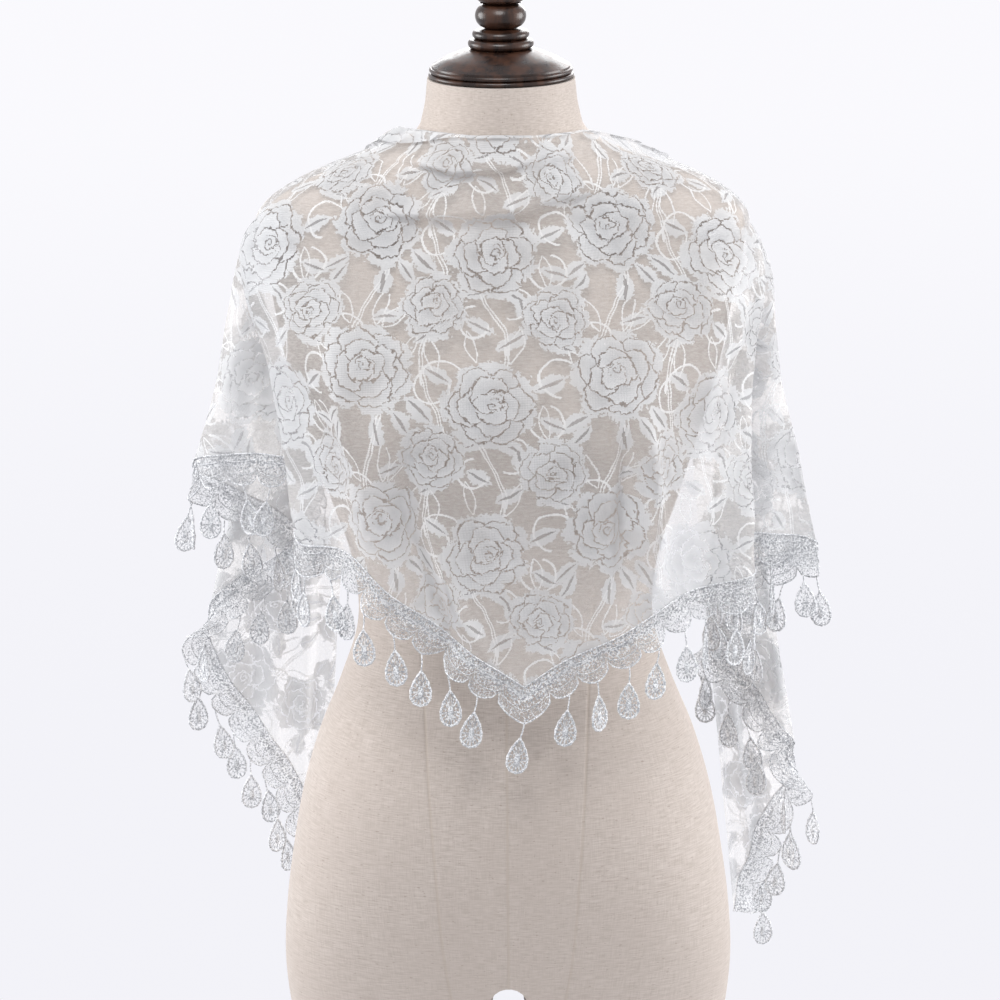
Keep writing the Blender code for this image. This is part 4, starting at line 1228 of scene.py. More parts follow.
def stem_field(r, frames):
    """Distance in metres from the middle of the nearest stem or tendril."""
    distances = []
    for rose, swing, shift in STEMS:
        x, y, _ = r.split(frames[rose])
        phase = r.math("MULTIPLY_ADD", y, 2 * math.pi / REPEAT.y, shift)
        middle = r.math("ABSOLUTE", r.math("MULTIPLY_ADD", r.math("SINE", phase), swing * STEM_SWING, x))
        distances.append(r.math("ABSOLUTE", r.math("SUBTRACT", middle, STEM_GAP)))
    for rose, across, down, radius, opening in ARCS:
        place = r.put("Mapping", {"Vector": frames[rose], "Location": (across, down, 0.0),
                                  "Rotation": (0.0, 0.0, opening)}, vector_type="TEXTURE").outputs["Vector"]
        off = r.math("ABSOLUTE", r.math("SUBTRACT", r.vector("LENGTH", place), radius))
        gate = r.math("MULTIPLY_ADD", r.split(place)[0], 0.6, -0.3 * radius)
        distances.append(r.math("MULTIPLY", r.math("MAXIMUM", off, gate), TENDRIL_FINER))
    return least(r, distances)


# %% [markdown]
# ## Putting the pattern together
# The flat cut drifts a little, as knitted cloth does, and its places are snapped to the pitch of the stitches,
# which gives the outlines their stepped, knitted edge. Only the roses are ruffled by finer noise, because the
# stems run clean. Out come masks: where thread is, where the lines of holes are, and how dark painted shade
# makes a petal.

# %% Lace pattern
CUT_MAP = "cut"
STITCH = 0.0007
DRIFT = (38.0, 0.0085)  # how fine the noise is, and how far it moves a place in metres
RUFFLE = (140.0, 0.0068)
FRAYING = (300.0, 2.0, 0.6)  # of the outlines: scale, detail and roughness of the noise
LEAF_FRAY = 0.30
LINE_CLOSES = 0.36  # a line of holes is closed where the fraying noise is lower than this
SPRAY_THREAD = 0.020  # half widths: of an open leaf's thread in lengths of the leaf, and of a stem in metres
STEM_THREAD = 0.00055


def moved_by(r, place, move):
    """A place on the cut, moved by noise."""
    scale, reach = move
    drift = r.put("TexNoise", {"Vector": place, "Scale": scale, "Detail": 1.0})
    drift = r.vector("SUBTRACT", drift.outputs["Color"], (0.5, 0.5, 0.5))
    return r.vector("ADD", place, r.vector("MULTIPLY", drift, (reach, reach, 0.0)))


def lace_pattern(r, flat):
    """Masks of all thread, the lines of holes, the slits of leaves, roses, and thin work, with the petals' tone of
    painted shade.
    """
    stitch = r.vector("SNAP", moved_by(r, flat, DRIFT), (STITCH, STITCH, 1.0))
    frames = rose_frames(r, stitch)
    place, far = nearest_rose(r, rose_frames(r, moved_by(r, stitch, RUFFLE)))
    frayed = r.noise(stitch, *FRAYING)
    wobble = r.math("SUBTRACT", frayed, 0.5)
    roses, lines, tone = rose_pattern(r, place, far, wobble)
    lines = r.math("MULTIPLY", lines, r.math("GREATER_THAN", frayed, LINE_CLOSES))
    leaf, slit = leaf_fields(r, frames)
    leaf_in = r.math("LESS_THAN", r.math("MULTIPLY_ADD", wobble, LEAF_FRAY, leaf), 0.0)
    spray_in = r.math("LESS_THAN", spray_field(r, frames), SPRAY_THREAD)
    stem_in = r.math("LESS_THAN", stem_field(r, frames), STEM_THREAD)
    solid = r.math("MAXIMUM", r.math("MAXIMUM", roses, leaf_in), r.math("MAXIMUM", spray_in, stem_in))
    beside_roses = r.math("SUBTRACT", 1.0, roses)
    slits = r.math("MULTIPLY", r.math("LESS_THAN", slit, 0.0), beside_roses)
    thin = r.math("MULTIPLY", r.math("MAXIMUM", spray_in, stem_in), beside_roses)
    return solid, lines, slits, roses, thin, tone


print("stitches of", STITCH * 1000, "mm, drifting by", DRIFT[1] / 2 * 1000, "mm at most")

# %% [markdown]
# ## Sheer and knitted
# Thin cloth lets light through: the shader is part opaque, part translucent, and transparent by the pattern, so
# roses are nearly closed and the net shows what is behind it. Fine waves across and down are the loops of the
# knit. The lines of holes and the slits of leaves are coloured dark, as painted shade. Where a fold lays the
# lace double, a second map closes it and greys it with painted shade.

# %% Lace material
GATHER_MAP = "gather"
LACE_CLOSED = 0.82  # how much the knitted roses cover, then their lines of holes and the net
LACE_HOLES = 0.18
LACE_NET = 0.365
LACE_SLIT = -0.30  # what the slits of leaves take from the cover, and what gathers add
LACE_GATHERED = 0.28
LACE_MOST = 0.96
NET_LIGHT = 0.50  # how much of the cloth's own light comes from behind it, in the net and in the roses
ROSE_LIGHT = 0.14
WALE = 0.0011  # pitch of the loops, across and down
COURSE = 0.0013
NET_ROWS = (190.0, 620.0, 1.0)
# the petals' pale rims, and the painted shade to which they darken inwards
PETAL_PALE = (0.665, 0.670, 0.682)
PETAL_SHADED = (0.500, 0.506, 0.522)
STEM_PALE = (0.790, 0.794, 0.802)
NET_PALE = (0.880, 0.862, 0.850)
# painted shade in the lines of holes and in the slits of leaves
HOLE_SHADE = (0.180, 0.186, 0.200)
# painted shade where the lace lies double in a fold
GATHER_SHADE = (0.480, 0.488, 0.510)


def lace_material():
    r = Recipe("rose_lace")
    flat = r.uv(CUT_MAP)
    solid, lines, slits, roses, stems, tone = lace_pattern(r, flat)
    x, y, _ = r.split(flat)
    wale = r.math("SINE", r.math("MULTIPLY", x, 2 * math.pi / WALE))
    course = r.math("SINE", r.math("MULTIPLY", y, 2 * math.pi / COURSE))
    mesh = r.math("MULTIPLY_ADD", r.math("MULTIPLY", wale, course), 0.10, LACE_NET)
    rows = r.noise(r.stretched(flat, NET_ROWS), 1.0, 2.0, 0.7)
    mesh = r.math("ADD", mesh, r.between(rows, 0.35, 0.65, -0.07, 0.07))
    thin = r.between(r.noise(flat, 30.0, 1.0), 0.35, 0.65, -0.10, 0.04)
    body = r.math("MULTIPLY_ADD", lines, LACE_HOLES - LACE_CLOSED, LACE_CLOSED)
    body = r.math("ADD", body, thin)
    alpha = r.math("MULTIPLY_ADD", solid, r.math("SUBTRACT", body, mesh), mesh)
    alpha = r.math("MULTIPLY_ADD", slits, LACE_SLIT, alpha)
    gather = r.split(r.uv(GATHER_MAP))[0]
    alpha = r.math("MINIMUM", r.math("MULTIPLY_ADD", gather, LACE_GATHERED, alpha), LACE_MOST)
    tone = r.math("MULTIPLY_ADD", wale, 0.06, tone)
    # painted shade darkens each petal away from its rim
    thread = r.blend(stems, r.blend(tone, PETAL_PALE, PETAL_SHADED), STEM_PALE)
    colour = r.blend(solid, NET_PALE, thread)
    # painted shade: the lines of holes in the roses and the slits of leaves are coloured dark, as if shadow showed
    # through them
    dark = r.math("MAXIMUM", r.math("MULTIPLY", lines, roses), r.math("MULTIPLY", slits, 0.6))
    colour = r.blend(dark, colour, HOLE_SHADE)
    # painted shade: greys the lace in the folds where it lies double
    colour = r.blend(r.math("MULTIPLY", gather, 0.5), colour, GATHER_SHADE)
    r.bump(r.math("ADD", wale, course), 0.0002, 0.35)
    r.make_thin(r.between(solid, 0.0, 1.0, NET_LIGHT, ROSE_LIGHT, smooth=False), colour, alpha)
    return r.set(Base_Color=colour, Roughness=0.62, Specular_IOR_Level=0.3, Sheen_Weight=0.15,
                 Sheen_Roughness=0.4)


LACE = lace_material()
report(LACE)

# %% [markdown]
# ## Cutting the lace into its stretches
# The cloth is one sheet, but the CAD model holds a node for each stretch of it: the front, the wing and the
# tail of each side. Each stretch is a grid whose corners are put on the drape, with three UV maps: `cut` counts
# metres on the flat cloth and carries the pattern, `OFBake` is the same layout fitted to a square, and the third
# says where the lace lies double and where painted shade greys it. The normals come from the whole sheet, so no
# shading line shows where two stretches meet.

# %% Stretches
# stretch, and the scallops that it runs between, counted from the front point
STRETCHES = (
    ("left_tail", -34.5, -17.5),
    ("left_wing", -17.5, -9.5),
    ("front", -9.5, 9.5),
    ("right_wing", 9.5, 15.5),
    ("right_tail", 15.5, 34.5),
)


def column_of(place):
    return int(np.argmin(np.abs(PLACES - place)))


for stretch_name, first, last in STRETCHES:
    print(stretch_name, "has", column_of(last) - column_of(first), "columns of faces")

# %% Sheet meshes
BAKE_MAP = "OFBake"


def sheet_grid(name, points, normals, maps):
    """A mesh from a grid of points, with its UV maps and its normals."""
    shape, spots = sheet_shape(*points.shape[:2])
    layers = [shape.loops.layers.uv.new(map_name) for map_name in maps]
    shape.verts.index_update()
    for vert, spot in zip(shape.verts, spots):
        vert.co = points[spot]
    for face in shape.faces:
        for loop in face.loops:
            for layer, places in zip(layers, maps.values()):
                loop[layer].uv = places[spots[loop.vert.index]]
    mesh = bpy.data.meshes.new(name)
    shape.to_mesh(mesh)
    shape.free()
    mesh.shade_smooth()
    mesh.normals_split_custom_set_from_vertices([normals[spot] for spot in spots])
    return mesh


def fitted(places):
    """UV places fitted to the unit square, with their shape kept."""
    low = places.min(axis=(0, 1))
    return (places - low) / (places.max(axis=(0, 1)) - low).max()


def gathered(places, like):
    """How much of a second layer, and of the painted shade of its fold, there is at each point, as a map."""
    share = np.linspace(0, 1, like.shape[1])
    amount = sum(bell(places - middle, half_width) for middle, half_width in GATHERS)
    amount = amount[:, None] * smooth_step(share, 0.30, 0.60) * (1 - 0.6 * smooth_step(share, 0.90, 1.0))
    return np.stack([amount, 0 * amount], axis=2)


# %% [markdown]
# ## Sizes on the cut
# Both come from the flat places, and not from the draped mesh.

# %% Sizes
TURN_STEP = 2  # degrees between the turns that are tried
AREA_DIGITS = 5  # areas in square metres that agree this far count as the same


def flat_area(places):
    """Area of a flat grid, from its outline."""
    rim = np.concatenate([places[:, 0], places[-1, 1:], places[-2::-1, -1], places[0, -2:0:-1]])
    x, y = rim.T
    return abs(np.dot(x, np.roll(y, 1)) - np.dot(y, np.roll(x, 1))) / 2


def cut_size(places):
    """Width and length of the smallest rectangle that a flat grid fits in: the narrowest of those as small."""
    points = places.reshape(-1, 2)
    sizes = []
    for degrees in range(0, 90, TURN_STEP):
        sizes.append(np.ptp(turned_by(points, math.radians(-degrees)), axis=0))
    smallest = min(sizes, key=lambda size: (round(np.prod(size), AREA_DIGITS), min(size)))
    return sorted(map(float, smallest))


for stretch_name, first, last in STRETCHES:
    own = cut[column_of(first) : column_of(last) + 1]
    width, length = cut_size(own)
    print(stretch_name, "cut", round(width, 3), "by", round(length, 3), "area", round(flat_area(own), 4))

# %% Lace pieces
GATHERS = ((-8.5, 1.6), (10.5, 1.8))  # place along the hem and half width of the folds in which lace lies double and is greyed with painted shade
cloth_normals = grid_normals(cloth)
for stretch_name, first, last in STRETCHES:
    span = np.s_[column_of(first) : column_of(last) + 1]
    maps = {CUT_MAP: cut[span], BAKE_MAP: fitted(cut[span]), GATHER_MAP: gathered(PLACES[span], cut[span])}
    mesh = sheet_grid("rose_lace_" + stretch_name, cloth[span], cloth_normals[span], maps)
    piece = finish_piece("rose_lace_" + stretch_name, mesh, ["lace_" + stretch_name], [LACE])

# %% [markdown]
# ## Guipure
# The trim is guipure: thick thread, embroidered without a ground, so that it stands as a web of cords with open
# holes. Its thread is silver grey and twisted, and its speckle comes from light and dark strands. The band and
# the drops have webs too fine to model, so those are thin sheets with holes in their alpha, and every cord that
# shows, the edge of each scallop and the rim of each drop, is a real cord.

# %% Guipure materials
THREAD_SHADE = (0.330, 0.340, 0.365)
THREAD_LIGHT = (0.880, 0.890, 0.910)
THREAD_LONG = (0.480, 0.490, 0.515)  # duller stretches along the thread
CORD_SPECKLE = 780.0


def thread_colours(r, place, scale):
    """Light and dark strands of a twisted silver thread."""
    speckle = r.noise(place, scale, 2.0, 0.7)
    long_shade = r.noise(place, 45.0, 2.0, 0.5)
    grey = r.blend(r.between(speckle, 0.40, 0.60), THREAD_SHADE, THREAD_LIGHT)
    grey = r.blend(r.between(long_shade, 0.40, 0.62, 0.0, 0.30), grey, THREAD_LONG)
    return grey, speckle


def cord_material():
    r = Recipe("guipure_cord")
    grey, speckle = thread_colours(r, r.coordinates(), CORD_SPECKLE)
    r.bump(speckle, 0.0006, 0.8)
    return r.set(Base_Color=grey, Roughness=r.between(speckle, 0.3, 0.7, 0.34, 0.62), Specular_IOR_Level=0.6,
                 Sheen_Weight=0.1)


CORD = cord_material()
report(CORD)

# %% [markdown]
# ## Webs
# The web of the band is a net of cells that are close along the top and open in the scallops, with one bar of
# stitches across. The web of a drop is a wheel of spokes with one ring, darker where it is deep in its middle.

# %% Web materials
WEB_MAP = "web"  # counts scallops and depth on a band, and turns and radii in a drop
TRIM_LIGHT = 0.34  # how much of the light behind it shows through the web
WEB_SPECKLE = 620.0
WEB_OPEN = 0.06  # what still covers the holes
BAND_CELLS = (14.0, 13.0, 1.0)
BAND_BAR = (0.30, 0.05)  # where the bar is across the band, and its half width
DROP_SPOKES = 19
DROP_RING = (0.60, 0.035)
DROP_DEEP = (0.230, 0.236, 0.250)


def at_bar(r, value, bar):
    """One where the value is inside the bar."""
    middle, half_width = bar
    return r.math("LESS_THAN", r.math("ABSOLUTE", r.math("SUBTRACT", value, middle)), half_width)


def band_threads(r, web, depth):
    cells = r.put("TexVoronoi", {"Vector": r.stretched(web, BAND_CELLS), "Scale": 1.0},
                  feature="DISTANCE_TO_EDGE").outputs["Distance"]
    net = r.math("LESS_THAN", cells, r.between(depth, 0.25, 0.70, 0.21, 0.085))
    return r.math("MAXIMUM", net, at_bar(r, depth, BAND_BAR))


def drop_threads(r, turn, radius):
    spokes = r.math("ABSOLUTE", r.math("SINE", r.math("MULTIPLY", turn, math.pi * DROP_SPOKES)))
    spoke = r.math("GREATER_THAN", spokes, r.between(radius, 0.20, 0.95, 0.40, 0.78))
    return r.math("MAXIMUM", spoke, at_bar(r, radius, DROP_RING))


def web_material(name, in_drop):
    r = Recipe(name)
    web = r.uv(WEB_MAP)
    grey, speckle = thread_colours(r, r.coordinates(), WEB_SPECKLE)
    u, v, _ = r.split(web)
    if in_drop:
        thread = drop_threads(r, u, v)
        grey = r.blend(r.between(v, 0.12, 0.45, 0.60, 0.0), grey, DROP_DEEP)
    else:
        thread = band_threads(r, web, v)
    alpha = r.between(thread, 0.0, 1.0, WEB_OPEN, 1.0, smooth=False)
    r.bump(r.math("ADD", thread, speckle), 0.0005, 0.6)
    r.make_thin(TRIM_LIGHT, grey, alpha)
    return r.set(Base_Color=grey, Roughness=0.5, Specular_IOR_Level=0.5, Sheen_Weight=0.1)


BAND_WEB = web_material("guipure_band", in_drop=False)
DROP_WEB = web_material("guipure_drop", in_drop=True)
report(BAND_WEB)
report(DROP_WEB)

# %% [markdown]
# ## The band of the trim
# The band is sewn to the hem and leaves it square to the edge, but leans towards straight down, because it is
# heavier than the lace. Each scallop is an arch of its edge. Long sewn edges never lie flat, so the band flutters
# a little.

# %% Band
DOWN = np.array([0.0, 0.0, -1.0])
TRIM_COLUMNS = 12  # for each scallop
TRIM_ROWS = 5
TRIM_VALLEY = 0.0150  # depth of the band between two scallops, and in the middle of one
TRIM_LOBE = 0.0255
TRIM_SAG = 0.35  # how much straight down there is in the way it hangs
HEM_STEP = 0.3  # scallops to either side, between which the hem's direction is taken
POINT_MITRE = 1.12  # how much deeper the band is at the front point, where its two lengths meet
FLUTTER = (0.0022, 1.7)  # height of the wave, and its length in scallops
CUPPING = 0.0016  # how far the middle of a scallop stands out
trim_places = np.linspace(-SCALLOPS - 0.5, SCALLOPS + 0.5, (2 * SCALLOPS + 1) * TRIM_COLUMNS + 1)


def hem_tangent(scallop):
    """The direction of the hem from left to right."""
    side = 1.0 if scallop >= 0 else -1.0
    inner = strand_ends(along_hem(scallop - side * HEM_STEP if scallop else 0.0))[2]
    outer = strand_ends(along_hem(scallop + side * HEM_STEP if abs(scallop) < SCALLOPS else scallop))[2]
    return side * unit(outer - inner)


def square_to(tangent, vector):
    return vector - tangent * np.dot(tangent, vector)


def trim_lean(column, scallop):
    """Which way the band leaves the hem."""
    tangent = hem_tangent(scallop)
    fall = cloth[column, -1] - cloth[column, -1 - STRAND_ROWS // 10]
    return unit(unit(square_to(tangent, fall)) + TRIM_SAG * square_to(tangent, DOWN))


def scallop_depth(place):
    """How deep the band is: an arch for each scallop."""
    across = place - round(place)
    arch = math.sqrt(max(0.0, 1 - (2 * across) ** 2)) ** 0.8
    mitre = 1 + (POINT_MITRE - 1) * max(0.0, 1 - abs(place) * 2)
    return (TRIM_VALLEY + (TRIM_LOBE - TRIM_VALLEY) * arch) * mitre


def trim_grid():
    """Rows of points from the hem to the scalloped edge."""
    marks = [-SCALLOPS - 0.5 + k for k in range(SCALLOPS + 1)]
    marks = np.array(marks + [0.0] + [-mark for mark in reversed(marks)])
    leans = np.array([trim_lean(column_of(mark), mark) for mark in marks])
    point = SCALLOPS + 1
    leans[point] = unit(leans[point - 1] + leans[point + 1])
    grid = np.zeros((len(trim_places), TRIM_ROWS, 3))
    for i, place in enumerate(trim_places):
        edge = np.array([np.interp(place, PLACES, cloth[:, -1, axis]) for axis in range(3)])
        lean = unit([np.interp(place, marks, leans[:, axis]) for axis in range(3)])
        for k in range(TRIM_ROWS):
            grid[i, k] = edge + lean * scallop_depth(place) * k / (TRIM_ROWS - 1)
    return grid


trim = trim_grid()
trim_normals = grid_normals(trim)
share = np.linspace(0, 1, TRIM_ROWS)[None, :]
flutter = FLUTTER[0] * share * np.sin(2 * math.pi * trim_places[:, None] / FLUTTER[1] + 1.1)
flutter = flutter + CUPPING * share**2 * np.cos(2 * math.pi * trim_places[:, None])
trim += trim_normals * flutter[:, :, None]
print("trim grid", trim.shape[:2])

# %% [markdown]
# ## Teardrops
# A thread leaves the middle of each scallop, and a teardrop hangs from it. Threads are stiff enough to kink, so
# each drop hangs a little askew, and some are seen on edge. On the steep parts of the hem, where drops would hang
# over each other, they are lifted in turn to the front and to the back.

# %% Teardrops
random.seed(7)
THREAD_LENGTH = 0.0130
THREAD_KICK = 1.8  # a thread leans this much more than its drop
DROP_LENGTH = 0.0280
DROP_WIDTH = 0.0158
DROP_FULLNESS = 0.65
DROP_LIFT = 0.0040  # how far drops on a steep hem are lifted off it, one to the front and the next to the back
DROP_POINTS = 26
DROP_TURNS = (-0.2, 0.15, 0.3, 1.35, -0.3, 0.1, -0.25, 1.25, 0.2, -0.15, 0.4)  # from facing out, radians
DROP_SWAY = 0.16  # radians, at most


def drop_outline(top, sideways, down):
    """A teardrop's rim, from its tip round and back."""
    rim = []
    for k in range(DROP_POINTS):
        angle = 2 * math.pi * k / DROP_POINTS
        outward = DROP_WIDTH * DROP_FULLNESS * math.sin(angle) * math.sin(angle / 2)
        rim.append(top - sideways * outward + down * DROP_LENGTH * (1 - math.cos(angle)) / 2)
    return rim


def place_drop(scallop):
    """The foot of a scallop's thread, and the drop's own directions: its tip, across and down."""
    i = int(np.argmin(np.abs(trim_places - scallop)))
    foot = trim[i, -1]
    tangent = hem_tangent(scallop)
    steep = abs(tangent[2])
    facing = math.atan2(tangent[1], tangent[0])
    facing += DROP_TURNS[(scallop + SCALLOPS) % len(DROP_TURNS)] * (1 - steep)
    sway = DROP_SWAY * (2 * random.random() - 1)
    sideways = np.array([math.cos(facing), math.sin(facing), 0.0])
    down = unit(DOWN + sideways * math.tan(sway))
    across = unit(np.cross(np.cross(down, sideways), down))
    lift = DROP_LIFT * steep * (1 if scallop % 2 else -1)
    top = foot + unit(DOWN + sideways * math.tan(sway * THREAD_KICK)) * THREAD_LENGTH + trim_normals[i, -1] * lift
    return foot, top, across, down


rim = drop_outline(np.zeros(3), np.array([1.0, 0.0, 0.0]), DOWN)
print("a drop is", np.ptp(rim, axis=0)[[0, 2]].round(4), "m, on", THREAD_LENGTH, "m of thread")

# %% [markdown]
# ## Cords
# A cord is a curve with a round profile. Its radius may change from point to point, which makes the small knots
# of an embroidered edge.

# %% Ropes
CORD_RADIUS = 0.00062
FINE_CORD = 0.00036
RIM_RADIUS = 0.00100
THREAD_RADIUS = 0.0006


def rope_mesh(ropes):
    """A mesh of round cords. Each rope is its points, its radius at each point, and whether it is a ring."""
    curve = bpy.data.curves.new("ropes", "CURVE")
    curve.dimensions = "3D"
    curve.bevel_depth = 1.0
    curve.bevel_resolution = 1
    curve.use_fill_caps = True
    for points, radii, is_ring in ropes:
        spline = curve.splines.new("POLY")
        spline.points.add(len(points) - 1)
        spline.use_cyclic_u = is_ring
        for spot, point, radius in zip(spline.points, points, radii):
            spot.co = (*point, 1.0)
            spot.radius = radius
    holder = bpy.data.objects.new("ropes", curve)
    bpy.context.scene.collection.objects.link(holder)
    bpy.context.view_layer.update()
    mesh = bpy.data.meshes.new_from_object(holder.evaluated_get(bpy.context.evaluated_depsgraph_get()))
    bpy.data.objects.remove(holder)
    return mesh


def knotted(points, radius, knot=0.30):
    """Radii of a cord with a small knot at every other point, as the edge of an embroidered scallop has."""
    return [radius * (1 + (knot if k % 2 else -knot / 2)) for k in range(len(points))]


print("a knotted cord is", [round(2000 * radius, 2) for radius in knotted("abcd", CORD_RADIUS)], "mm thick")

# %% [markdown]
# ## One piece of trim for each stretch
# Everything that is embroidered in one go becomes one mesh: the web of the band, the cords on it, and each drop
# with its thread, rim, web and raised heart. A material index tells cord from web.

# %% Trim webs and hearts
BAND_INDEX, DROP_INDEX = 1, 2  # of the materials: cords are 0
HEART_AT = 0.60  # of the drop's length, from its tip
HEART_SIZE = (0.0024, 0.0009, 0.0050)  # half of its width, its depth and its length
DROP_WEB_FIT = 0.97  # the web ends inside the rim's cord


def add_band(shape, layer, first, last):
    """The web of the band between two columns of the trim grid."""
    columns = last - first
    before = set(shape.faces)
    made = bmesh.ops.create_grid(shape, x_segments=columns, y_segments=TRIM_ROWS - 1, size=1.0)["verts"]
    spots = {}
    for vert in made:
        i = first + round((vert.co.x + 1) / 2 * columns)
        k = TRIM_ROWS - 1 - round((vert.co.y + 1) / 2 * (TRIM_ROWS - 1))
        spots[vert] = (i, k)
    for vert, (i, k) in spots.items():
        vert.co = trim[i, k]
    for face in set(shape.faces) - before:
        face.material_index = BAND_INDEX
        for loop in face.loops:
            i, k = spots[loop.vert]
            loop[layer].uv = (trim_places[i], k / (TRIM_ROWS - 1))


def add_drop_web(shape, layer, rim, down):
    """A sheet across the drop's rim, with a map that counts turns and radii."""
    middle = rim[0] + down * DROP_LENGTH * HEART_AT
    before = set(shape.faces)
    made = bmesh.ops.create_circle(shape, cap_ends=True, cap_tris=True, segments=len(rim), radius=1.0)["verts"]
    order = {}
    for vert in made:
        if vert.co.length < 0.5:
            vert.co = middle
        else:
            turn = math.atan2(vert.co.y, vert.co.x) % (2 * math.pi)
            k = round(turn / (2 * math.pi) * len(rim)) % len(rim)
            order[vert] = k
            vert.co = middle + (rim[k] - middle) * DROP_WEB_FIT
    for face in set(shape.faces) - before:
        face.material_index = DROP_INDEX
        turns = [order[loop.vert] / len(rim) for loop in face.loops if loop.vert in order]
        if max(turns) - min(turns) > 0.5:
            turns = [turn + 1 if turn < 0.5 else turn for turn in turns]
        numbers = iter(turns)
        for loop in face.loops:
            edge = loop.vert in order
            loop[layer].uv = (next(numbers), 1.0) if edge else (sum(turns) / len(turns), 0.0)


def add_heart(shape, tip, across, down):
    """The raised oval at the middle of a drop."""
    facing = np.cross(across, down)
    axes = Matrix(((*across, 0), (*facing, 0), (*down, 0), (0, 0, 0, 1))).transposed()
    place = Matrix.Translation(Vector(tip + down * DROP_LENGTH * HEART_AT))
    size = Matrix.Diagonal((*HEART_SIZE, 1.0))
    bmesh.ops.create_uvsphere(shape, u_segments=8, v_segments=5, radius=1.0, matrix=place @ axes @ size)


# %% Trim pieces
HEADER_LIFT = 0.0006  # how far the sewn edge's cord, and the fine cords, stand off the band
FINE_LIFT = 0.0004
THREAD_BEND = 0.0004
HEADER_KNOT = 0.15


def band_cords(span):
    """The cords of a stretch of band: the sewn edge, the scalloped edge, and two fine ones between them."""
    out = trim_normals[span]
    sewn = trim[span, 0] + out[:, 0] * HEADER_LIFT
    edge = trim[span, -1]
    inner = trim[span, 2] * 0.35 + trim[span, 3] * 0.65 + out[:, 2] * FINE_LIFT
    header = trim[span, 1] + out[:, 1] * FINE_LIFT
    cords = [(sewn, knotted(sewn, CORD_RADIUS, HEADER_KNOT), False), (edge, knotted(edge, CORD_RADIUS), False)]
    return cords + [(fine, knotted(fine, FINE_CORD), False) for fine in (inner, header)]


def make_trim(name, first, last):
    i, j = (int(np.argmin(np.abs(trim_places - edge))) for edge in (first, last))
    shape = bmesh.new()
    layer = shape.loops.layers.uv.new(WEB_MAP)
    add_band(shape, layer, i, j)
    ropes = band_cords(np.s_[i : j + 1])
    for scallop in range(math.ceil(first), math.floor(last) + 1):
        foot, top, across, down = place_drop(scallop)
        bend = (foot + top) / 2 + across * THREAD_BEND
        ropes.append(([foot, bend, top], [THREAD_RADIUS] * 3, False))
        rim = drop_outline(top, across, down)
        ropes.append((rim, knotted(rim, RIM_RADIUS), True))
        add_drop_web(shape, layer, rim, down)
        add_heart(shape, top, across, down)
    cords = rope_mesh(ropes)
    shape.from_mesh(cords)
    mesh = bpy.data.meshes.new("guipure_" + name)
    shape.to_mesh(mesh)
    shape.free()
    mesh.shade_smooth()
    looks = [CORD, BAND_WEB, DROP_WEB]
    return finish_piece("guipure_" + name, mesh, ["trim_" + name], looks)


trims = {name: make_trim(name, first, last) for name, first, last in STRETCHES}

# %% [markdown]
# ## The sheets' sizes, once more
# The numbers are those of the flat cut above. They are worked out again here, and nothing keeps or shows them.

# %% Sheets
for stretch_name, first, last in STRETCHES:
    own = cut[column_of(first) : column_of(last) + 1]
    cut_size(own)
    float(flat_area(own))

# %% [markdown]
# ## Floor
# The floor is nearly white and keeps the stand's shadow. Further out it melts into the backdrop: there it glows
# with the backdrop's own colour, but only as the camera, reflections and clear cloth see it, so that it gives no
# light of its own.

# %% Floor
BACKDROP = (0.955, 0.950, 0.985)
BACKDROP_LOW = (0.895, 0.893, 0.940)
FLOOR_SIZE = 60.0
FLOOR_PLAIN = 0.9  # the floor is a plain pale floor this far out, and melts into the backdrop beyond
FLOOR_GONE = 1.6
FLOOR_PALE = ((0.80, 0.80, 0.82), (0.84, 0.84, 0.86))


def make_floor():
    shape = bmesh.new()
    bmesh.ops.create_grid(shape, x_segments=1, y_segments=1, size=FLOOR_SIZE)
    mesh = bpy.data.meshes.new("floor")
    shape.to_mesh(mesh)
    shape.free()
    floor = bpy.data.objects.new("floor", mesh)
    bpy.context.scene.collection.objects.link(floor)
    r = Recipe("floor")
    place = r.coordinates()
    shade = r.noise(place, 1.2, 2.0, 0.5)
    r.set(Base_Color=r.blend(shade, *FLOOR_PALE), Roughness=0.7)
    far = r.vector("LENGTH", place)
    glow = r.put("Emission", {"Color": r.blend(r.between(far, 2.0, 9.0), BACKDROP_LOW, BACKDROP)})
    path = r.put("LightPath").outputs
    seen = r.math("MAXIMUM", path["Is Camera Ray"], r.math("MAXIMUM", path["Is Glossy Ray"],
                                                            path["Is Transmission Ray"]))
    share = r.math("MULTIPLY", seen, r.between(far, FLOOR_PLAIN, FLOOR_GONE))
    mix = r.put("MixShader", {0: share, 1: r.shader.outputs[0], 2: glow.outputs[0]})
    r.tree.links.new(mix.outputs[0], r.tree.nodes["Material Output"].inputs["Surface"])
    mesh.materials.append(r.material)
    report(r.material)


make_floor()

# %% [markdown]
# ## Sky
# The background is white because the sky looks white to the camera, not because there is more light: what is
# seen and what gives light are two backgrounds, mixed by the kind of ray.

# %% Sky
SKY_LIGHT = 0.36
SKY_COLOUR = (0.96, 0.97, 1.0)


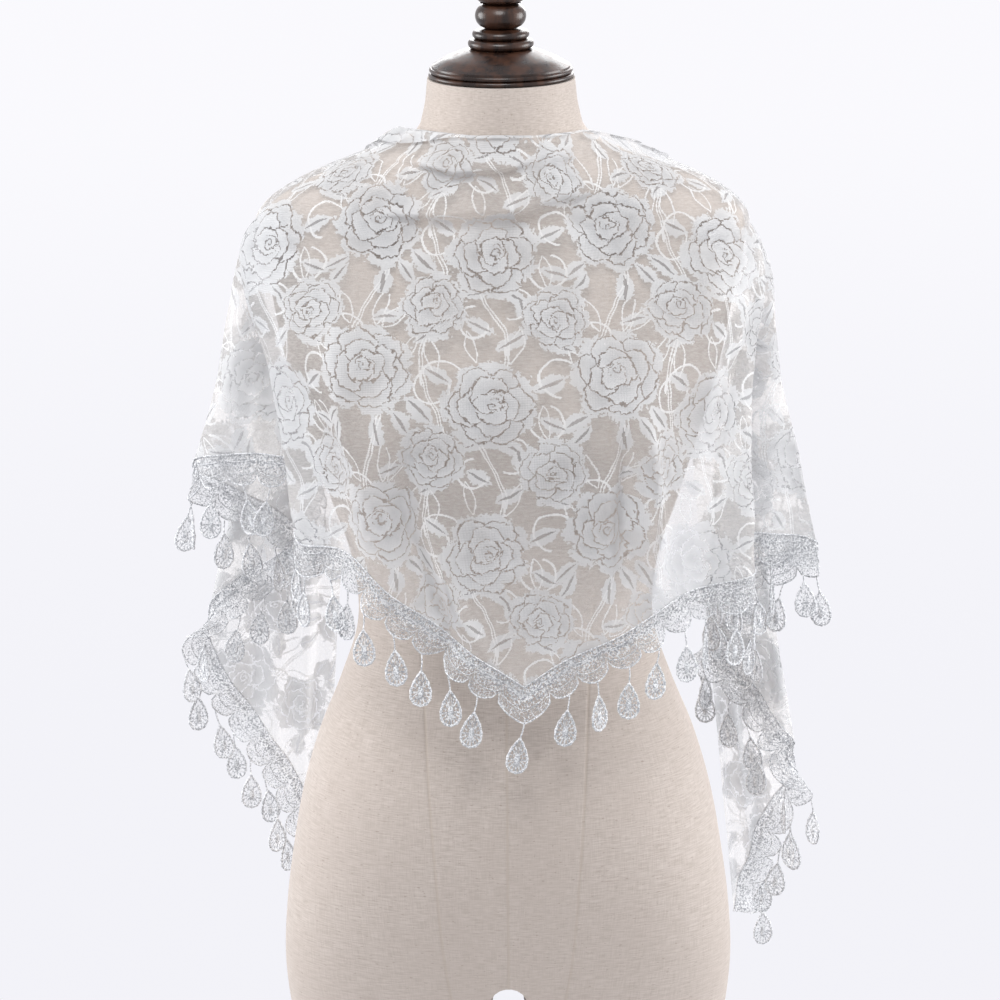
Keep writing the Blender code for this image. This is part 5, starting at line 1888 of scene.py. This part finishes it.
def make_sky():
    world = bpy.data.worlds.new("sky")
    world.use_nodes = True
    tree = world.node_tree
    light = tree.nodes["Background"]
    light.inputs["Color"].default_value = (*SKY_COLOUR, 1.0)
    light.inputs["Strength"].default_value = SKY_LIGHT
    seen = tree.nodes.new("ShaderNodeBackground")
    seen.inputs["Color"].default_value = (*BACKDROP, 1.0)
    seen.inputs["Strength"].default_value = 1.0
    path = tree.nodes.new("ShaderNodeLightPath")
    either = tree.nodes.new("ShaderNodeMath")
    either.operation = "MAXIMUM"
    tree.links.new(path.outputs["Is Camera Ray"], either.inputs[0])
    tree.links.new(path.outputs["Is Glossy Ray"], either.inputs[1])
    mix = tree.nodes.new("ShaderNodeMixShader")
    tree.links.new(either.outputs[0], mix.inputs["Fac"])
    tree.links.new(light.outputs[0], mix.inputs[1])
    tree.links.new(seen.outputs[0], mix.inputs[2])
    tree.links.new(mix.outputs[0], tree.nodes["World Output"].inputs["Surface"])
    bpy.context.scene.world = world


make_sky()
print("sky gives", SKY_LIGHT, "and looks like", BACKDROP)

# %% [markdown]
# ## Lamps
# Four large soft discs: one at each side, one high in front, and one behind, whose light comes through the net.
# All look at the chest. The tone curve is the plain one, so that pale stays pale.

# %% Lamps
CHEST = (0.0, 0.0, 1.15)
# name, place, width of the disc, watts
LAMPS = (
    ("left", (-2.7, 0.55, 1.7), 1.8, 72.0),
    ("right", (2.7, 0.4, 1.6), 1.8, 77.0),
    ("top", (-0.3, -1.85, 3.55), 1.7, 80.0),
    ("back", (0.3, 2.6, 2.2), 2.0, 44.0),
)


def add_lamp(name, place, target, size, power):
    lamp = bpy.data.objects.new(name, bpy.data.lights.new(name, "AREA"))
    lamp.data.shape = "DISK"
    lamp.data.size = size
    lamp.data.energy = power
    lamp.location = place
    lamp.rotation_euler = (Vector(target) - Vector(place)).to_track_quat("-Z", "Y").to_euler()
    bpy.context.scene.collection.objects.link(lamp)


for lamp_name, place, size, power in LAMPS:
    add_lamp(lamp_name, place, CHEST, size, power)
bpy.context.scene.view_settings.view_transform = "Standard"
print(len(LAMPS), "lamps,", sum(lamp[3] for lamp in LAMPS), "W in all")
